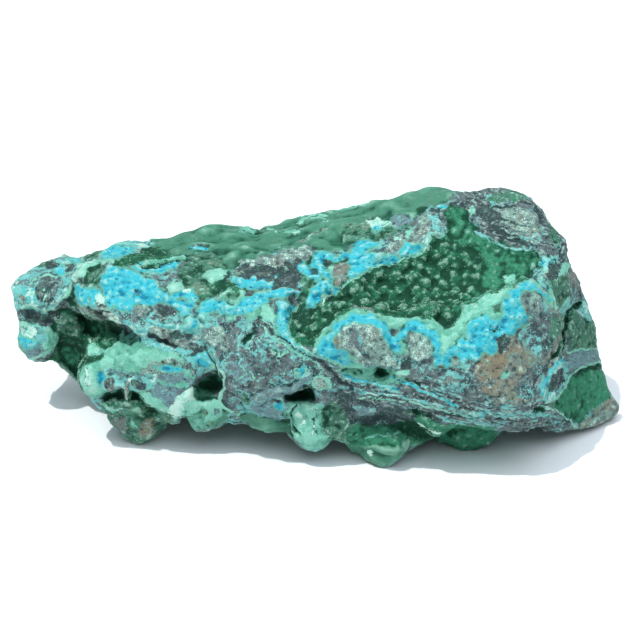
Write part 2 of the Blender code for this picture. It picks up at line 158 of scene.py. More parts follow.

# Patches of the front, painted in this order: (finish, how far it stands proud, outline in pixels). The
# deepest patches are carved holes whose dark finish is partly painted shade.
PATCHES = (
    # the smooth green top
    ("malachite", 0.0, (
        (100, 236), (125, 226), (150, 222), (180, 212), (230, 204), (280, 198), (330, 192), (400, 180),
        (452, 182), (458, 198), (446, 202), (432, 205), (418, 212), (412, 226), (396, 230), (398, 240),
        (380, 240), (365, 239), (342, 251), (325, 252), (310, 247), (288, 247), (262, 256), (240, 260),
        (232, 272), (222, 268), (205, 270), (196, 276), (188, 262), (168, 260), (150, 246), (130, 246),
        (112, 246),
    )),
    ("olive", 0.5, ((342, 232), (352, 224), (366, 223), (374, 229), (368, 238), (354, 240), (344, 241))),
    ("olive", 0.2, ((376, 232), (392, 228), (402, 231), (398, 240), (380, 241))),
    ("olive", 0.1, ((188, 256), (206, 250), (222, 256), (224, 266), (208, 270), (196, 274), (186, 264))),
    # left arm
    ("turquoise", 0.0, (
        (6, 290), (10, 276), (30, 264), (50, 252), (82, 252), (80, 264), (72, 276), (66, 290), (64, 300),
        (56, 308), (44, 314), (22, 308), (6, 308),
    )),
    ("olive", -0.2, ((34, 262), (50, 256), (56, 262), (48, 268), (38, 270))),
    ("matrix", 0.1, (
        (28, 280), (38, 272), (50, 268), (62, 272), (68, 280), (62, 288), (56, 296), (52, 304), (44, 306),
        (38, 296), (32, 288),
    )),
    ("umber", 0.1, (
        (36, 284), (42, 277), (54, 275), (58, 282), (52, 290), (54, 298), (46, 306), (38, 300), (36, 292),
    )),
    ("umber", -0.4, ((44, 262), (56, 261), (58, 266), (47, 268))),
    ("umber", -0.5, ((66, 264), (76, 265), (74, 271), (66, 272))),
    ("blue", 0.2, ((54, 268), (60, 265), (67, 268), (63, 273), (56, 273))),
    ("blue", 0.2, ((70, 259), (80, 258), (79, 262), (70, 263))),
    ("umber", -0.9, (
        (22, 311), (32, 308), (42, 314), (54, 317), (56, 322), (46, 325), (32, 322), (24, 319),
    )),
    ("mint", 0.9, (
        (14, 326), (21, 321), (32, 324), (44, 326), (53, 328), (57, 338), (54, 350), (44, 357), (28, 361),
        (14, 356),
    )),
    ("turquoise", 0.9, ((16, 330), (28, 325), (42, 328), (48, 337), (44, 346), (30, 350), (16, 348))),
    ("blue", 0.9, ((19, 336), (28, 340), (38, 343), (36, 348), (24, 349))),
    ("cream", 0.9, ((25, 331), (35, 330), (38, 335), (32, 338), (25, 336))),
    ("lilac", 0.8, ((20, 344), (30, 350), (42, 346), (46, 352), (36, 357), (24, 357))),
    ("emerald", 0.8, ((43, 328), (52, 329), (56, 338), (53, 347), (46, 348), (47, 338))),
    # caves below it
    ("druse", -0.8, (
        (60, 308), (74, 310), (92, 318), (112, 321), (124, 331), (121, 340), (112, 345), (106, 348),
        (100, 362), (86, 364), (80, 372), (84, 392), (72, 380), (58, 370), (46, 362), (54, 350), (58, 340),
        (52, 326),
    )),
    ("umber", -1.0, ((48, 311), (59, 311), (62, 317), (50, 319))),
    ("olive", 0.6, ((55, 318), (64, 312), (76, 316), (84, 328), (80, 337), (66, 336), (57, 333))),
    ("velvet", -1.8, (
        (78, 318), (92, 320), (110, 323), (121, 332), (118, 340), (104, 342), (92, 338), (82, 334),
    )),
    ("velvet", -1.6, (
        (60, 342), (76, 344), (82, 352), (82, 364), (76, 372), (82, 388), (70, 376), (58, 364),
    )),
    ("emerald", 0.5, ((84, 346), (90, 340), (99, 344), (104, 351), (98, 359), (86, 357))),
    ("malachite", 0.4, ((104, 336), (114, 333), (120, 337), (110, 345), (104, 349), (101, 342))),
    # ribbon and patches at the left end of the blue arm
    ("olive", -0.5, ((86, 268), (102, 264), (104, 275), (100, 283), (92, 285), (82, 283))),
    ("druse", -0.7, ((66, 298), (72, 288), (80, 284), (78, 292), (74, 300), (80, 308), (72, 308))),
    ("blue", 0.2, (
        (76, 285), (84, 289), (96, 288), (100, 294), (95, 299), (93, 306), (86, 306), (79, 302), (75, 294),
    )),
    ("rust", 0.2, ((85, 298), (90, 296), (94, 300), (90, 304))),
    ("matrix", 0.2, ((78, 284), (90, 285), (102, 289), (102, 293), (92, 292), (80, 290))),
    ("cream", 0.2, ((95, 295), (100, 293), (105, 299), (104, 304), (98, 304))),
    ("ash", 0.5, (
        (70, 303), (80, 308), (90, 307), (98, 308), (106, 309), (114, 314), (120, 321), (126, 330),
        (116, 324), (106, 320), (95, 320), (84, 316), (76, 312), (70, 308),
    )),
    ("rust", 0.3, ((90, 309), (104, 311), (112, 317), (104, 319), (94, 316))),
    ("mint", 0.8, (
        (66, 296), (66, 288), (72, 278), (78, 271), (82, 263), (92, 261), (104, 259), (113, 261),
        (112, 264), (100, 264), (92, 267), (88, 273), (86, 278), (78, 278), (72, 284), (69, 292),
    )),
    # crest of the blue arm
    ("turquoise", 0.3, (
        (96, 258), (102, 248), (112, 243), (122, 239), (150, 238), (153, 243), (143, 248), (138, 252),
        (128, 254), (126, 258), (115, 260), (100, 258),
    )),
    ("blue", 0.3, ((102, 252), (112, 246), (124, 246), (134, 248), (126, 254), (112, 258), (102, 258))),
    ("olive", 0.2, ((84, 256), (88, 250), (98, 246), (104, 248), (98, 258), (88, 260))),
    ("druse", -0.3, (
        (112, 260), (126, 255), (140, 252), (150, 246), (170, 252), (168, 262), (150, 268), (136, 266),
        (124, 267), (113, 266),
    )),
    ("blue", 0.6, (
        (99, 281), (103, 273), (108, 267), (123, 268), (134, 271), (138, 274), (146, 278), (155, 283),
        (159, 288), (168, 293), (172, 299), (170, 305), (163, 300), (156, 304), (150, 307), (144, 304),
        (134, 303), (131, 311), (121, 310), (115, 305), (108, 307), (104, 302), (104, 291),
    )),
    ("blue", 0.4, (
        (134, 268), (136, 264), (140, 262), (145, 267), (155, 269), (166, 265), (179, 262), (177, 268),
        (160, 272), (143, 272),
    )),
    ("blue", 0.3, (
        (170, 296), (182, 291), (193, 291), (197, 299), (192, 307), (190, 315), (182, 316), (174, 310),
        (168, 306),
    )),
    ("matrix", -0.2, ((173, 297), (182, 295), (190, 298), (188, 304), (178, 303))),
    ("umber", -0.3, ((134, 291), (141, 291), (140, 296), (135, 296))),
    ("druse", -0.5, ((121, 290), (126, 291), (127, 298), (122, 297))),
    ("emerald", 0.4, (
        (141, 262), (148, 257), (160, 257), (172, 255), (184, 253), (187, 257), (182, 262), (166, 262),
        (156, 266), (146, 266),
    )),
    ("olive", -0.3, (
        (186, 264), (200, 268), (208, 270), (206, 279), (213, 288), (214, 297), (199, 306), (197, 298),
        (186, 288), (180, 280), (178, 270),
    )),
    ("mint", 0.6, (
        (202, 276), (206, 271), (219, 268), (230, 270), (224, 276), (218, 281), (213, 286), (208, 281),
    )),
    ("mint", 0.5, ((166, 287), (174, 282), (182, 280), (184, 286), (180, 293), (174, 294), (168, 290))),
    ("cream", 0.4, ((182, 293), (184, 289), (190, 289), (188, 294))),
    # grey area with white veins, and the turquoise slope below it
    ("matrix", 0.0, (
        (124, 313), (133, 312), (134, 303), (170, 303), (186, 315), (198, 320), (190, 330), (166, 330),
        (140, 325), (128, 322),
    )),
    ("umber", -0.2, ((157, 305), (166, 305), (173, 311), (172, 317), (164, 319), (157, 314))),
    ("umber", -0.2, ((136, 312), (146, 314), (144, 322), (136, 320))),
    ("ash", 0.2, ((133, 304), (146, 303), (149, 312), (142, 320), (132, 317))),
    ("turquoise", 0.0, (
        (124, 320), (142, 326), (164, 328), (186, 324), (200, 322), (212, 338), (218, 352), (212, 368),
        (196, 366), (178, 352), (150, 346), (130, 338),
    )),
    ("ash", 0.2, ((150, 328), (170, 330), (190, 340), (196, 350), (184, 352), (168, 342), (150, 336))),
    ("blue", 0.2, ((186, 318), (196, 317), (200, 326), (192, 330), (186, 326))),
    ("blue", 0.3, ((196, 356), (205, 352), (214, 354), (214, 362), (206, 368), (198, 364))),
    # pale block
    ("emerald", 0.3, (
        (80, 372), (86, 362), (98, 360), (110, 348), (124, 335), (142, 340), (158, 346), (180, 354),
        (192, 366), (196, 378), (186, 386), (160, 386), (140, 392), (110, 392), (98, 398), (86, 392),
    )),
    ("emerald", 0.3, ((108, 354), (116, 345), (130, 342), (142, 345), (138, 353), (130, 361), (116, 363))),
    ("mint", 0.4, (
        (131, 357), (140, 350), (152, 348), (164, 354), (176, 362), (166, 368), (150, 368), (136, 366),
    )),
    ("ash", 0.3, ((142, 370), (150, 364), (172, 358), (186, 364), (182, 372), (160, 374), (148, 374))),
    ("mint", 0.4, ((98, 362), (106, 356), (114, 360), (112, 370), (100, 372))),
    ("turquoise", 0.1, (
        (96, 372), (112, 368), (130, 374), (150, 372), (160, 378), (150, 388), (130, 392), (112, 392),
        (98, 388),
    )),
    ("mint", 0.6, ((81, 372), (86, 363), (93, 365), (97, 378), (99, 392), (92, 399), (85, 394), (81, 382))),
    ("blue", 0.2, ((96, 374), (102, 372), (106, 378), (100, 384))),
    ("blue", 0.1, ((155, 368), (166, 366), (182, 366), (183, 370), (166, 372))),
    ("lilac", 0.3, ((155, 374), (168, 371), (183, 373), (184, 382), (172, 384), (157, 380))),
    ("lilac", 0.4, (
        (150, 390), (158, 384), (172, 386), (184, 388), (178, 397), (170, 408), (160, 398), (151, 396),
    )),
    ("druse", -2.0, ((104, 394), (114, 390), (124, 390), (124, 402), (112, 412), (104, 404))),
    ("druse", -2.0, ((127, 391), (142, 392), (150, 400), (152, 410), (140, 410), (130, 404))),
    ("mint", 0.5, ((136, 389), (152, 394), (168, 404), (168, 411), (158, 411), (145, 405), (139, 398))),
    ("cream", 0.7, (
        (190, 386), (196, 388), (197, 398), (192, 406), (180, 418), (171, 418), (167, 412), (178, 397),
        (186, 388),
    )),
    ("mint", 0.5, ((182, 404), (196, 398), (204, 402), (210, 410), (206, 420), (194, 424), (184, 418))),
    ("malachite", -0.8, (
        (192, 384), (200, 388), (212, 394), (222, 402), (222, 414), (206, 406), (194, 398),
    )),
    ("velvet", -1.9, (
        (198, 384), (204, 379), (212, 374), (220, 373), (223, 379), (222, 387), (216, 392), (208, 392),
        (200, 389),
    )),
    ("matrix", 0.5, ((223, 397), (230, 391), (239, 393), (241, 402), (237, 411), (227, 408))),
    # slab that lies on the top
    ("umber", -0.5, (
        (238, 264), (262, 264), (288, 262), (300, 258), (304, 276), (298, 282), (300, 290), (284, 288),
        (262, 290), (244, 284), (236, 276),
    )),
    ("ash", 1.1, (
        (240, 262), (246, 259), (266, 257), (272, 256), (280, 252), (288, 248), (296, 245), (304, 245),
        (310, 248), (313, 254), (312, 260), (315, 265), (312, 268), (305, 264), (296, 261), (290, 261),
        (286, 266), (288, 269), (270, 268), (250, 266),
    )),
    ("rust", 0.1, ((234, 271), (243, 270), (244, 277), (236, 278))),
    ("rust", 0.0, ((258, 270), (270, 271), (270, 278), (262, 277))),
    ("blue", 0.5, (
        (231, 280), (236, 277), (244, 277), (256, 274), (258, 279), (268, 280), (276, 273), (279, 277),
        (274, 284), (271, 290), (254, 289), (238, 285),
    )),
    ("druse", -0.8, (
        (212, 286), (220, 279), (232, 283), (244, 288), (250, 291), (240, 290), (226, 289), (218, 296),
        (210, 296),
    )),
    ("blue", 0.5, (
        (271, 291), (284, 286), (299, 290), (301, 294), (285, 296), (270, 297), (252, 302), (246, 305),
        (245, 300), (260, 294),
    )),
    ("blue", 0.5, (
        (197, 318), (199, 308), (204, 303), (217, 300), (232, 306), (246, 301), (262, 295), (268, 300),
        (256, 309), (240, 314), (225, 314), (216, 316), (206, 320),
    )),
    ("emerald", 0.8, (
        (219, 297), (222, 292), (227, 288), (235, 287), (242, 288), (246, 291), (245, 301), (232, 305),
        (224, 300),
    )),
    ("malachite", 1.0, (
        (223, 296), (228, 290), (240, 289), (243, 293), (241, 299), (231, 302), (225, 300),
    )),
    ("matrix", 0.2, ((202, 311), (214, 308), (222, 312), (218, 321), (206, 322))),
    ("emerald", 0.4, ((224, 315), (236, 314), (236, 321), (226, 322))),
    ("emerald", 0.4, ((246, 312), (258, 306), (262, 314), (254, 320), (247, 320))),
    ("mint", 0.4, (
        (259, 307), (264, 304), (270, 305), (272, 310), (278, 315), (277, 321), (271, 329), (266, 326),
        (261, 320),
    )),
    ("blue", 0.5, (
        (278, 302), (286, 302), (294, 309), (289, 318), (286, 326), (290, 338), (302, 350), (318, 360),
        (310, 358), (295, 349), (282, 338), (276, 330), (279, 318),
    )),
    ("druse", -0.5, DRUSE_OUTLINE),
    ("velvet", -0.4, (
        (449, 205), (463, 207), (470, 221), (482, 234), (502, 242), (522, 250), (538, 253), (540, 266),
        (528, 279), (504, 289), (487, 293), (473, 302), (461, 312), (450, 326), (448, 316), (462, 300),
        (476, 284), (486, 268), (478, 252), (462, 244), (440, 240), (448, 228), (444, 214),
    )),
    ("olive", -0.2, ((290, 312), (300, 305), (312, 306), (318, 316), (310, 326), (298, 326), (290, 322))),
    # crust between the slab and the open druse
    ("olive", -0.4, (
        (296, 264), (316, 254), (344, 256), (350, 270), (342, 284), (330, 290), (318, 300), (306, 308),
        (298, 296), (302, 284),
    )),
    ("blue", 0.8, (
        (312, 266), (314, 256), (320, 252), (327, 252), (334, 255), (337, 261), (327, 260), (322, 261),
        (323, 268), (331, 272), (332, 280), (324, 276), (316, 270),
    )),
    ("blue", 0.5, ((294, 262), (303, 262), (312, 270), (322, 277), (314, 280), (303, 274), (297, 270))),
    ("blue", 0.8, (
        (318, 279), (329, 280), (333, 288), (338, 290), (336, 294), (323, 294), (319, 300), (313, 307),
        (305, 308), (307, 299), (313, 288),
    )),
    ("umber", -1.0, ((322, 262), (330, 260), (331, 265), (324, 267))),
    ("umber", -0.6, ((310, 269), (317, 270), (318, 274), (311, 274))),
    ("mint", 0.5, ((328, 266), (335, 265), (337, 272), (330, 274))),
    ("rust", 0.5, ((334, 266), (347, 262), (350, 270), (344, 282), (337, 287), (331, 277))),
    ("ash", 0.5, ((338, 271), (345, 270), (343, 279), (338, 283))),
    # upper rim of the open druse
    ("matrix", 0.3, (
        (350, 249), (366, 240), (372, 244), (388, 236), (404, 230), (416, 214), (430, 205), (440, 206),
        (436, 214), (432, 228), (424, 246), (408, 252), (396, 262), (372, 262), (352, 262),
    )),
    ("ash", 0.4, (
        (384, 250), (392, 244), (408, 238), (417, 226), (419, 216), (428, 214), (430, 224), (428, 236),
        (414, 242), (402, 248), (390, 252),
    )),
    ("blue", 0.6, (
        (334, 261), (342, 254), (350, 252), (354, 246), (361, 241), (370, 240), (377, 243), (368, 248),
        (362, 252), (378, 255), (394, 256), (399, 259), (396, 263), (378, 266), (366, 270), (351, 278),
        (347, 275), (352, 264), (345, 258),
    )),
    ("mint", 0.4, ((404, 233), (408, 229), (413, 227), (415, 233), (405, 237))),
    ("cream", 0.3, ((394, 237), (402, 235), (400, 240), (394, 240))),
    ("turquoise", 0.4, (
        (398, 256), (407, 245), (420, 243), (430, 231), (432, 240), (426, 250), (412, 256), (402, 262),
    )),
    ("blue", 0.3, ((400, 250), (408, 244), (418, 243), (422, 248), (410, 254), (400, 258))),
    ("cream", 0.3, ((363, 221), (376, 218), (384, 220), (391, 222), (380, 229), (370, 226))),
    ("blue", 0.3, ((373, 225), (382, 224), (383, 230), (377, 232))),
    ("lilac", 0.2, ((390, 219), (398, 215), (410, 215), (414, 221), (406, 226), (394, 226))),
    ("druse", -0.6, ((416, 209), (421, 206), (426, 208), (424, 212), (417, 212))),
    ("turquoise", 0.6, (
        (428, 215), (436, 217), (444, 224), (449, 229), (445, 235), (437, 231), (432, 223),
    )),
    ("umber", -0.2, ((430, 207), (437, 205), (442, 210), (438, 214), (431, 213))),
    ("strata", 0.3, ((452, 202), (448, 196), (470, 191), (500, 187), (498, 192), (474, 200))),
    # head
    ("strata", 0.2, (
        (464, 208), (478, 196), (500, 184), (530, 186), (550, 202), (562, 230), (560, 250), (540, 252),
        (520, 248), (500, 240), (483, 234), (471, 220),
    )),
    ("umber", -0.4, ((476, 207), (488, 204), (494, 212), (506, 218), (500, 222), (486, 222), (478, 216))),
    ("umber", -0.6, ((471, 228), (478, 226), (482, 232), (474, 233))),
    ("umber", -0.6, ((486, 224), (498, 224), (512, 232), (526, 243), (534, 246), (520, 247), (500, 236))),
    ("ash", 0.3, (
        (503, 208), (520, 206), (534, 212), (542, 224), (540, 234), (524, 234), (508, 226), (500, 216),
    )),
    ("mint", 0.3, ((468, 210), (473, 206), (476, 211), (472, 216))),
    ("olive", 0.2, (
        (478, 199), (494, 192), (520, 187), (538, 194), (552, 206), (544, 208), (530, 200), (512, 202),
        (492, 204),
    )),
    ("ash", 0.2, ((544, 206), (551, 203), (556, 214), (558, 228), (550, 224), (545, 214))),
    ("olive", 0.1, ((548, 222), (557, 226), (561, 240), (556, 248), (546, 240))),
    ("umber", -0.3, ((534, 204), (542, 210), (546, 222), (541, 224), (536, 214))),
    # right of the open druse
    ("rust", 0.2, (
        (500, 298), (514, 286), (530, 284), (545, 292), (556, 306), (562, 320), (560, 346), (552, 364),
        (546, 386), (530, 402), (498, 404), (482, 396), (474, 372), (484, 352), (496, 340), (506, 330),
    )),
    ("matrix", 0.2, (
        (519, 296), (524, 288), (535, 290), (548, 300), (556, 312), (558, 330), (552, 350), (540, 362),
        (528, 352), (518, 340), (512, 330), (524, 322), (528, 310),
    )),
    ("ash", 0.3, ((529, 294), (538, 293), (543, 303), (538, 311), (530, 308))),
    ("ochre", 0.3, (
        (476, 366), (486, 356), (498, 354), (508, 344), (514, 350), (508, 362), (498, 376), (486, 384),
        (478, 378),
    )),
    ("ochre", 0.2, ((482, 388), (494, 384), (502, 390), (498, 398), (486, 397))),
    ("emerald", 0.2, ((498, 372), (506, 369), (513, 373), (508, 381), (500, 380))),
    ("matrix", 0.0, ((520, 372), (540, 362), (552, 366), (544, 390), (528, 402), (512, 398), (516, 384))),
    ("matrix", 0.0, (
        (540, 258), (556, 252), (574, 262), (586, 284), (596, 316), (602, 340), (588, 348), (566, 352),
        (562, 330), (566, 306), (552, 294), (542, 276),
    )),
    ("olive", 0.1, ((545, 272), (556, 268), (566, 272), (572, 286), (566, 300), (556, 309), (550, 294))),
    ("blue", 0.4, ((541, 262), (545, 258), (554, 258), (548, 268), (543, 272))),
    ("umber", -0.2, ((546, 273), (552, 264), (562, 265), (557, 277), (547, 280))),
    ("mint", 0.3, ((562, 265), (568, 261), (571, 266), (565, 275), (556, 280), (557, 275))),
    ("rust", 0.1, ((570, 268), (578, 272), (584, 288), (576, 290), (568, 282))),
    ("olive", 0.1, ((552, 320), (560, 312), (566, 318), (562, 334), (554, 346), (550, 334))),
    # fin
    ("olive", -0.2, ((568, 318), (576, 310), (586, 308), (594, 316), (600, 345), (590, 351), (570, 352))),
    ("turquoise", 0.1, ((574, 302), (584, 300), (590, 308), (592, 320), (584, 318), (576, 312))),
    ("velvet", 0.0, (
        (576, 371), (600, 367), (607, 380), (610, 400), (592, 412), (580, 424), (566, 418), (546, 408),
        (558, 398), (568, 384),
    )),
    ("lilac", 0.4, (
        (567, 360), (570, 354), (580, 350), (598, 350), (602, 360), (590, 364), (576, 370), (567, 368),
    )),
    ("druse", -0.8, ((574, 373), (586, 366), (602, 362), (602, 368), (588, 370), (578, 376))),
    ("rust", 0.0, (
        (604, 402), (612, 396), (620, 406), (616, 419), (592, 433), (568, 434), (574, 428), (588, 420),
    )),
    ("ash", 0.1, ((584, 424), (600, 412), (612, 406), (612, 414), (598, 424), (588, 430))),
    ("turquoise", 0.2, (
        (542, 400), (543, 382), (550, 370), (560, 360), (568, 364), (568, 380), (560, 394), (550, 404),
    )),
    ("umber", 0.1, ((548, 392), (551, 378), (558, 369), (564, 368), (564, 380), (557, 390), (551, 394))),
    # blue and pale rims of the open druse
    ("emerald", 0.6, (
        (311, 354), (314, 344), (325, 326), (338, 314), (354, 308), (372, 310), (390, 315), (412, 317),
        (434, 319), (446, 328), (452, 327), (461, 312), (473, 302), (487, 293), (502, 288), (516, 283),
        (528, 279), (540, 284), (550, 295), (557, 308), (551, 310), (542, 295), (530, 287), (520, 287),
        (511, 292), (504, 300), (506, 313), (498, 322), (484, 317), (472, 321), (466, 330), (461, 340),
        (450, 350), (443, 364), (438, 362), (440, 345), (434, 334), (424, 324), (412, 321), (398, 330),
        (388, 326), (376, 319), (362, 317), (346, 319), (334, 330), (322, 344), (314, 356),
    )),
    ("mint", 0.7, (
        (440, 334), (448, 336), (456, 330), (464, 322), (462, 330), (452, 344), (444, 360), (440, 358),
    )),
    ("mint", 0.7, (
        (466, 314), (478, 304), (492, 297), (503, 292), (500, 300), (488, 308), (474, 314), (466, 322),
    )),
    ("olive", 0.5, ((490, 306), (497, 300), (504, 302), (504, 312), (498, 316), (491, 313))),
    ("mint", 0.5, (
        (318, 354), (322, 346), (336, 348), (348, 352), (358, 362), (364, 368), (344, 368), (328, 362),
    )),
    ("blue", 0.5, (
        (316, 348), (324, 338), (331, 331), (340, 321), (354, 314), (372, 316), (386, 324), (393, 336),
        (398, 340), (401, 329), (412, 321), (426, 324), (436, 334), (440, 346), (442, 364), (436, 366),
        (434, 354), (430, 340), (421, 331), (410, 330), (405, 337), (400, 348), (396, 356), (390, 346),
        (386, 336), (378, 328), (366, 322), (352, 320), (340, 328), (331, 338), (336, 348), (348, 352),
        (340, 353), (328, 352), (322, 356),
    )),
    ("blue", 0.4, ((322, 352), (334, 351), (346, 354), (354, 362), (346, 366), (334, 362))),
    ("ash", 0.8, (
        (329, 338), (332, 334), (340, 331), (345, 327), (351, 320), (365, 323), (381, 329), (389, 342),
        (394, 356), (396, 366), (380, 366), (366, 367), (358, 363), (353, 353), (342, 348), (331, 344),
    )),
    ("rust", 0.8, ((329, 338), (335, 335), (341, 340), (342, 346), (333, 344))),
    ("matrix", 0.8, (
        (346, 328), (351, 321), (357, 326), (362, 338), (368, 350), (378, 364), (364, 362), (354, 346),
    )),
    ("ash", 0.8, (
        (410, 333), (419, 333), (428, 341), (432, 352), (430, 358), (417, 362), (412, 356), (409, 343),
    )),
    ("emerald", 0.4, ((397, 342), (402, 338), (407, 342), (407, 354), (398, 355))),
    ("umber", -0.4, ((398, 362), (408, 361), (412, 364), (410, 369), (398, 369))),
    ("blue", 0.7, (
        (442, 364), (447, 353), (454, 347), (460, 341), (466, 339), (465, 328), (471, 321), (480, 316),
        (489, 316), (493, 321), (499, 324), (505, 315), (503, 299), (511, 290), (520, 284), (530, 282),
        (542, 289), (550, 301), (544, 296), (535, 290), (524, 289), (520, 295), (523, 310), (529, 317),
        (525, 326), (520, 323), (513, 333), (504, 334), (497, 336), (496, 351), (491, 355), (484, 352),
        (479, 359), (475, 361), (468, 357), (464, 363), (460, 358), (454, 353), (450, 359), (445, 367),
    )),
    ("umber", 0.1, ((496, 338), (503, 334), (509, 337), (508, 348), (500, 352), (496, 346))),
    ("mint", 0.4, ((502, 279), (506, 275), (513, 274), (518, 278), (514, 284), (506, 284))),
    ("ash", 0.2, ((450, 353), (458, 354), (460, 364), (452, 366))),
    # wedge below the centre
    ("matrix", 0.2, (
        (200, 330), (208, 322), (222, 318), (244, 318), (260, 320), (276, 334), (294, 350), (313, 362),
        (306, 372), (288, 384), (276, 392), (250, 395), (236, 396), (226, 384), (214, 366), (204, 348),
    )),
    ("ash", 0.5, ((204, 330), (212, 325), (222, 327), (224, 340), (216, 346), (206, 342))),
    ("ash", 0.1, ((222, 332), (229, 338), (230, 348), (224, 352), (218, 344))),
    ("lilac", 0.3, ((232, 362), (244, 358), (252, 366), (250, 380), (240, 386), (230, 376))),
    ("druse", -1.4, ((241, 342), (247, 334), (254, 328), (256, 331), (251, 340), (245, 345))),
    ("mint", 0.1, ((292, 370), (300, 366), (310, 366), (304, 373), (296, 376))),
    ("lilac", 0.5, (
        (250, 398), (260, 390), (276, 386), (290, 386), (300, 380), (310, 374), (312, 380), (300, 388),
        (286, 396), (288, 410), (276, 420), (260, 416), (252, 408),
    )),
    # lower strip and the band under it
    ("emerald", -0.6, (
        (336, 369), (354, 367), (378, 368), (394, 369), (396, 376), (408, 380), (398, 384), (378, 382),
        (352, 379), (340, 376),
    )),
    ("druse", -2.0, ((375, 373), (379, 369), (386, 372), (387, 377), (378, 377))),
    ("mint", 0.6, ((394, 372), (402, 370), (410, 369), (408, 375), (400, 377))),
    ("strata", 0.2, (
        (322, 360), (340, 372), (352, 380), (378, 384), (400, 388), (430, 366), (444, 367), (462, 366),
        (474, 372), (482, 396), (498, 406), (530, 404), (544, 392), (546, 404), (556, 408), (566, 418),
        (560, 424), (520, 420), (480, 424), (440, 430), (400, 420), (370, 404), (344, 394), (330, 378),
    )),
    ("matrix", 0.2, (
        (410, 366), (430, 364), (446, 368), (470, 372), (480, 388), (480, 398), (456, 394), (432, 384),
        (412, 378),
    )),
    ("umber", -0.2, (
        (336, 392), (350, 394), (370, 404), (400, 408), (430, 412), (444, 420), (430, 424), (400, 418),
        (372, 424), (350, 424), (344, 412), (334, 402),
    )),
    ("lilac", 0.2, ((350, 404), (366, 404), (380, 410), (376, 418), (358, 418))),
    ("druse", -1.2, ((408, 410), (416, 408), (428, 414), (440, 424), (430, 426), (414, 418))),
    ("druse", -2.0, (
        (281, 394), (290, 397), (298, 391), (306, 386), (312, 389), (315, 398), (306, 401), (290, 401),
    )),
    ("mint", 0.6, ((310, 382), (314, 377), (324, 375), (331, 379), (333, 388), (322, 391), (312, 388))),
    ("ash", 0.4, ((314, 381), (321, 378), (327, 381), (326, 387), (317, 387))),
    ("turquoise", -0.3, (
        (470, 414), (484, 411), (510, 413), (540, 411), (560, 418), (536, 417), (500, 419), (474, 420),
    )),
    ("strata", -0.3, (
        (462, 418), (490, 414), (516, 416), (556, 420), (573, 430), (556, 435), (515, 433), (480, 430),
    )),
    ("druse", -1.8, ((533, 410), (538, 406), (544, 407), (545, 411), (538, 413))),
    # lobes along the foot
    ("olive", 0.0, (
        (102, 404), (124, 402), (150, 408), (172, 414), (176, 424), (168, 436), (150, 444), (124, 440),
        (108, 424),
    )),
    ("malachite", 0.4, ((124, 408), (134, 404), (142, 408), (140, 420), (132, 430), (124, 422))),
    ("rust", 0.3, ((112, 420), (122, 416), (128, 424), (126, 434), (116, 428))),
    ("ochre", 0.4, ((136, 430), (144, 420), (154, 420), (156, 432), (148, 438), (138, 437))),
    ("mint", 0.4, ((130, 420), (135, 421), (137, 428), (132, 427))),
    ("druse", -1.6, ((144, 410), (156, 408), (160, 414), (150, 418))),
    ("malachite", 0.0, (
        (176, 416), (184, 420), (206, 404), (222, 408), (230, 416), (222, 424), (206, 430), (192, 430),
        (180, 424),
    )),
    ("emerald", 0.2, ((188, 420), (200, 414), (208, 418), (206, 428), (194, 428))),
    ("mint", 0.6, ((204, 402), (214, 399), (222, 405), (223, 415), (214, 422), (204, 421))),
    ("lilac", 0.6, ((213, 410), (220, 408), (222, 412), (215, 415))),
    ("malachite", 0.1, (
        (238, 414), (250, 412), (262, 418), (280, 420), (292, 420), (296, 436), (280, 438), (264, 432),
        (250, 428),
    )),
    ("emerald", 0.3, (
        (288, 402), (296, 400), (312, 401), (324, 404), (320, 416), (326, 430), (332, 440), (322, 450),
        (308, 450), (296, 440), (290, 424), (284, 412),
    )),
    ("mint", 0.4, ((294, 418), (300, 414), (306, 419), (303, 426), (296, 426))),
    ("mint", 0.3, ((304, 434), (316, 430), (322, 438), (314, 446), (306, 444))),
    ("mint", 0.4, ((306, 408), (316, 405), (321, 412), (318, 424), (309, 422))),
    ("olive", 0.1, ((320, 410), (334, 400), (346, 412), (352, 424), (344, 442), (330, 440), (320, 426))),
    ("malachite", 0.2, (
        (340, 440), (350, 426), (372, 424), (402, 426), (412, 438), (402, 456), (378, 470), (352, 462),
    )),
    # the velvet and druse over the two lowest lobes darken them partly as painted shade, and partly as their
    # own dark green
    ("velvet", 0.2, (
        (342, 436), (352, 427), (372, 425), (402, 427), (410, 437), (400, 447), (376, 444), (352, 447),
    )),
    ("velvet", -0.2, (
        (404, 424), (420, 414), (444, 424), (470, 422), (496, 426), (498, 440), (470, 454), (438, 452),
        (412, 446),
    )),
    ("druse", -0.6, ((386, 424), (404, 420), (420, 424), (436, 430), (430, 442), (412, 436), (396, 432))),
)

